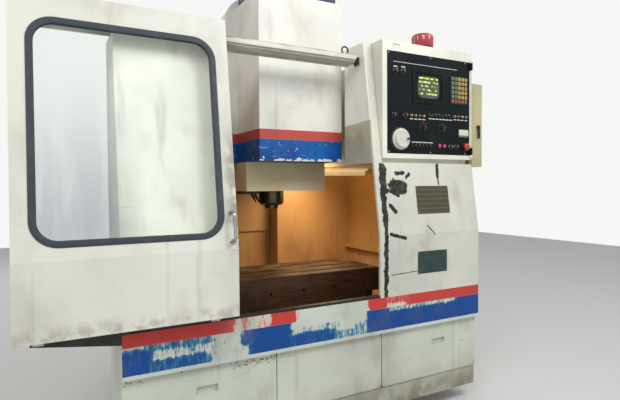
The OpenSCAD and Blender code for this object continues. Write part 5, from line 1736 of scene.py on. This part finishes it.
FINISHES = (
    Enamel("white_enamel", "lower_panel_middle lower_panel_right",
           srgb(204, 209, 194), low_dirt=0.5, chips=0.6),
    Enamel("pale_panel", "left_front_panel", srgb(224, 223, 212), low_dirt=0.5, scratches=0.2),
    StripedEnamel("band_enamel", "front_cover", srgb(203, 209, 198), low_dirt=0.3),
    HeadStripes("head_enamel", "head_cover head_rear_cover", srgb(232, 231, 222), dust=0.2),
    CabinetEnamel("cabinet_enamel", "right_cabinet", srgb(209, 209, 196)),
    DoorEnamel("door_enamel", "door_panel", srgb(224, 223, 212), dust=0.2),
    ChippedEnamel("chipped_enamel", "lower_panel_left",
                  srgb(204, 210, 194), low_dirt=0.5, chips=0.85),
    Enamel("toe_enamel", "toe_strip", srgb(190, 194, 176), low_dirt=0.9),
    Enamel("cream_paint", "electrical_cabinet", CREAM, dust=0.35),
    Enamel("box_paint", "upper_housing control_box", srgb(226, 225, 212), dust=0.15, runs=0.15),
    # Side box: painted shade; its paint is given darker and tan, as it looks in shade.
    Enamel("shaded_side_paint", "side_box side_box_door", srgb(180, 173, 134), dust=0.35),
    Enamel("cast_paint", "base_casting column magazine_guide",
           srgb(190, 186, 168), roughness=0.5, dust=0.4),
    Enamel("head_paint", "head_casting", srgb(238, 222, 182), roughness=0.45, dust=0.2, runs=0.15),
    # Work zone: its tan is partly paint, partly painted warm lamp light.
    WorkZoneEnamel("work_zone", "side_wall_left side_wall_right rear_guard chip_tray z_way_cover",
                   LAMP_WARMED_TAN, roughness=0.38, dust=0.15, runs=0.12, scratches=0.15),
    Enamel("blue_paint", "spindle_motor", srgb(24, 38, 84), roughness=0.35),
    Enamel("motor_paint", "axis_motors x_motor", srgb(48, 48, 50), roughness=0.45),
    Enamel("panel_black", "control_panel screen",
           srgb(9, 17, 20), roughness=0.5, dust=0.05, runs=0.02, scratches=0.1, coat=0.0,
           shine=0.12),
    Metal("bright_steel", "door_roller_left door_roller_right x_screw y_screw z_screw",
          srgb(178, 176, 170), 0.28),
    Metal("ground_steel", "magazine_drum", srgb(150, 146, 138), 0.22, (1, 1, 0.05)),
    Metal("dark_steel",
          "levelling_pads lifting_eyes coolant_nozzles side_box_latch magazine_carriage",
          srgb(72, 68, 60), 0.4, stain=0.45),
    Metal("nose_steel", "spindle spindle_cartridge", srgb(96, 88, 76), 0.26, (1, 1, 7), 50, 0.2),
    Metal("brown_steel", "rail_bracket", srgb(104, 70, 44), 0.55, stain=0.6, metallic=0.3),
    Metal("guide_steel", "lower_guide", srgb(64, 70, 64), 0.45, (0.1, 1, 1), stain=0.5),
    Metal("chrome", "door_handle",
          srgb(176, 180, 180), 0.14, stain=0.25, stain_colour=srgb(92, 80, 60)),
    Moulding("seal_rubber", "door_seal", srgb(44, 54, 62), 0.6, 0.25),
    Moulding("dark_plastic", "feed_dial mode_dial", srgb(22, 22, 24), 0.4),
    Moulding("white_plastic", "handwheel", srgb(206, 204, 194), 0.4, 0.1),
    Moulding("green_plastic", "", srgb(70, 120, 84), 0.4),
    Moulding("red_plastic", "emergency_stop beacon", srgb(176, 28, 26), 0.3, 0.1, coat=0.3),
    Moulding("red_lens_body", "", srgb(158, 34, 42), 0.22, 0.05, coat=0.5),
    Moulding("magenta_plastic", "start_button stop_button", srgb(170, 50, 104), 0.3, 0.1, coat=0.3),
    Moulding("amber_lens", "", srgb(212, 150, 60), 0.2, 0.0, coat=0.5),
    Moulding("green_lens", "", srgb(90, 160, 96), 0.2, 0.0, coat=0.5),
    Moulding("red_lens", "", srgb(186, 52, 44), 0.2, 0.0, coat=0.5),
    DeckIron("deck", "table saddle"),
    RailPaint("rail", "top_rail"),
    PaneGlass("pane", "door_pane"),
    KeyPlastic("keys", "keypad"),
    TubeGlow("screen_face", ""),
    PlateMetal("bronze_plate", "", srgb(70, 66, 46), srgb(112, 104, 78), 0.026),
    PlateMetal("green_plate", "", srgb(30, 58, 60), srgb(74, 104, 100), 0.009),
    LampTube("lamp_tube", "work_lamp"),
)


def dress() -> dict[str, Material]:
    """Makes all finishes and gives each frame node its own.

    Returns:
        The finishes by name.
    """
    store = {}
    bare = set(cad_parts)
    for finish in FINISHES:
        store[finish.name] = finish.make()
        for name in finish.nodes.split():
            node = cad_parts[name]
            if not node.material_slots:
                node.data.materials.append(store[finish.name])
            for place in node.material_slots:
                place.material = store[finish.name]
            bare.remove(name)
    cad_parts["door_pane"].visible_shadow = False
    LOG.info("undressed nodes: %s", sorted(bare))
    return store


def main() -> None:
    """Builds the studio, the finishes and all pieces in order."""
    logging.basicConfig(level=logging.INFO, format="%(name)s: %(message)s")
    Studio().build()
    store = dress()
    DoorParts(store).build()
    PanelParts(store).build()
    BallScrews(store).build()
    CoverParts(store).build()


if __name__ == "__main__":
    main()
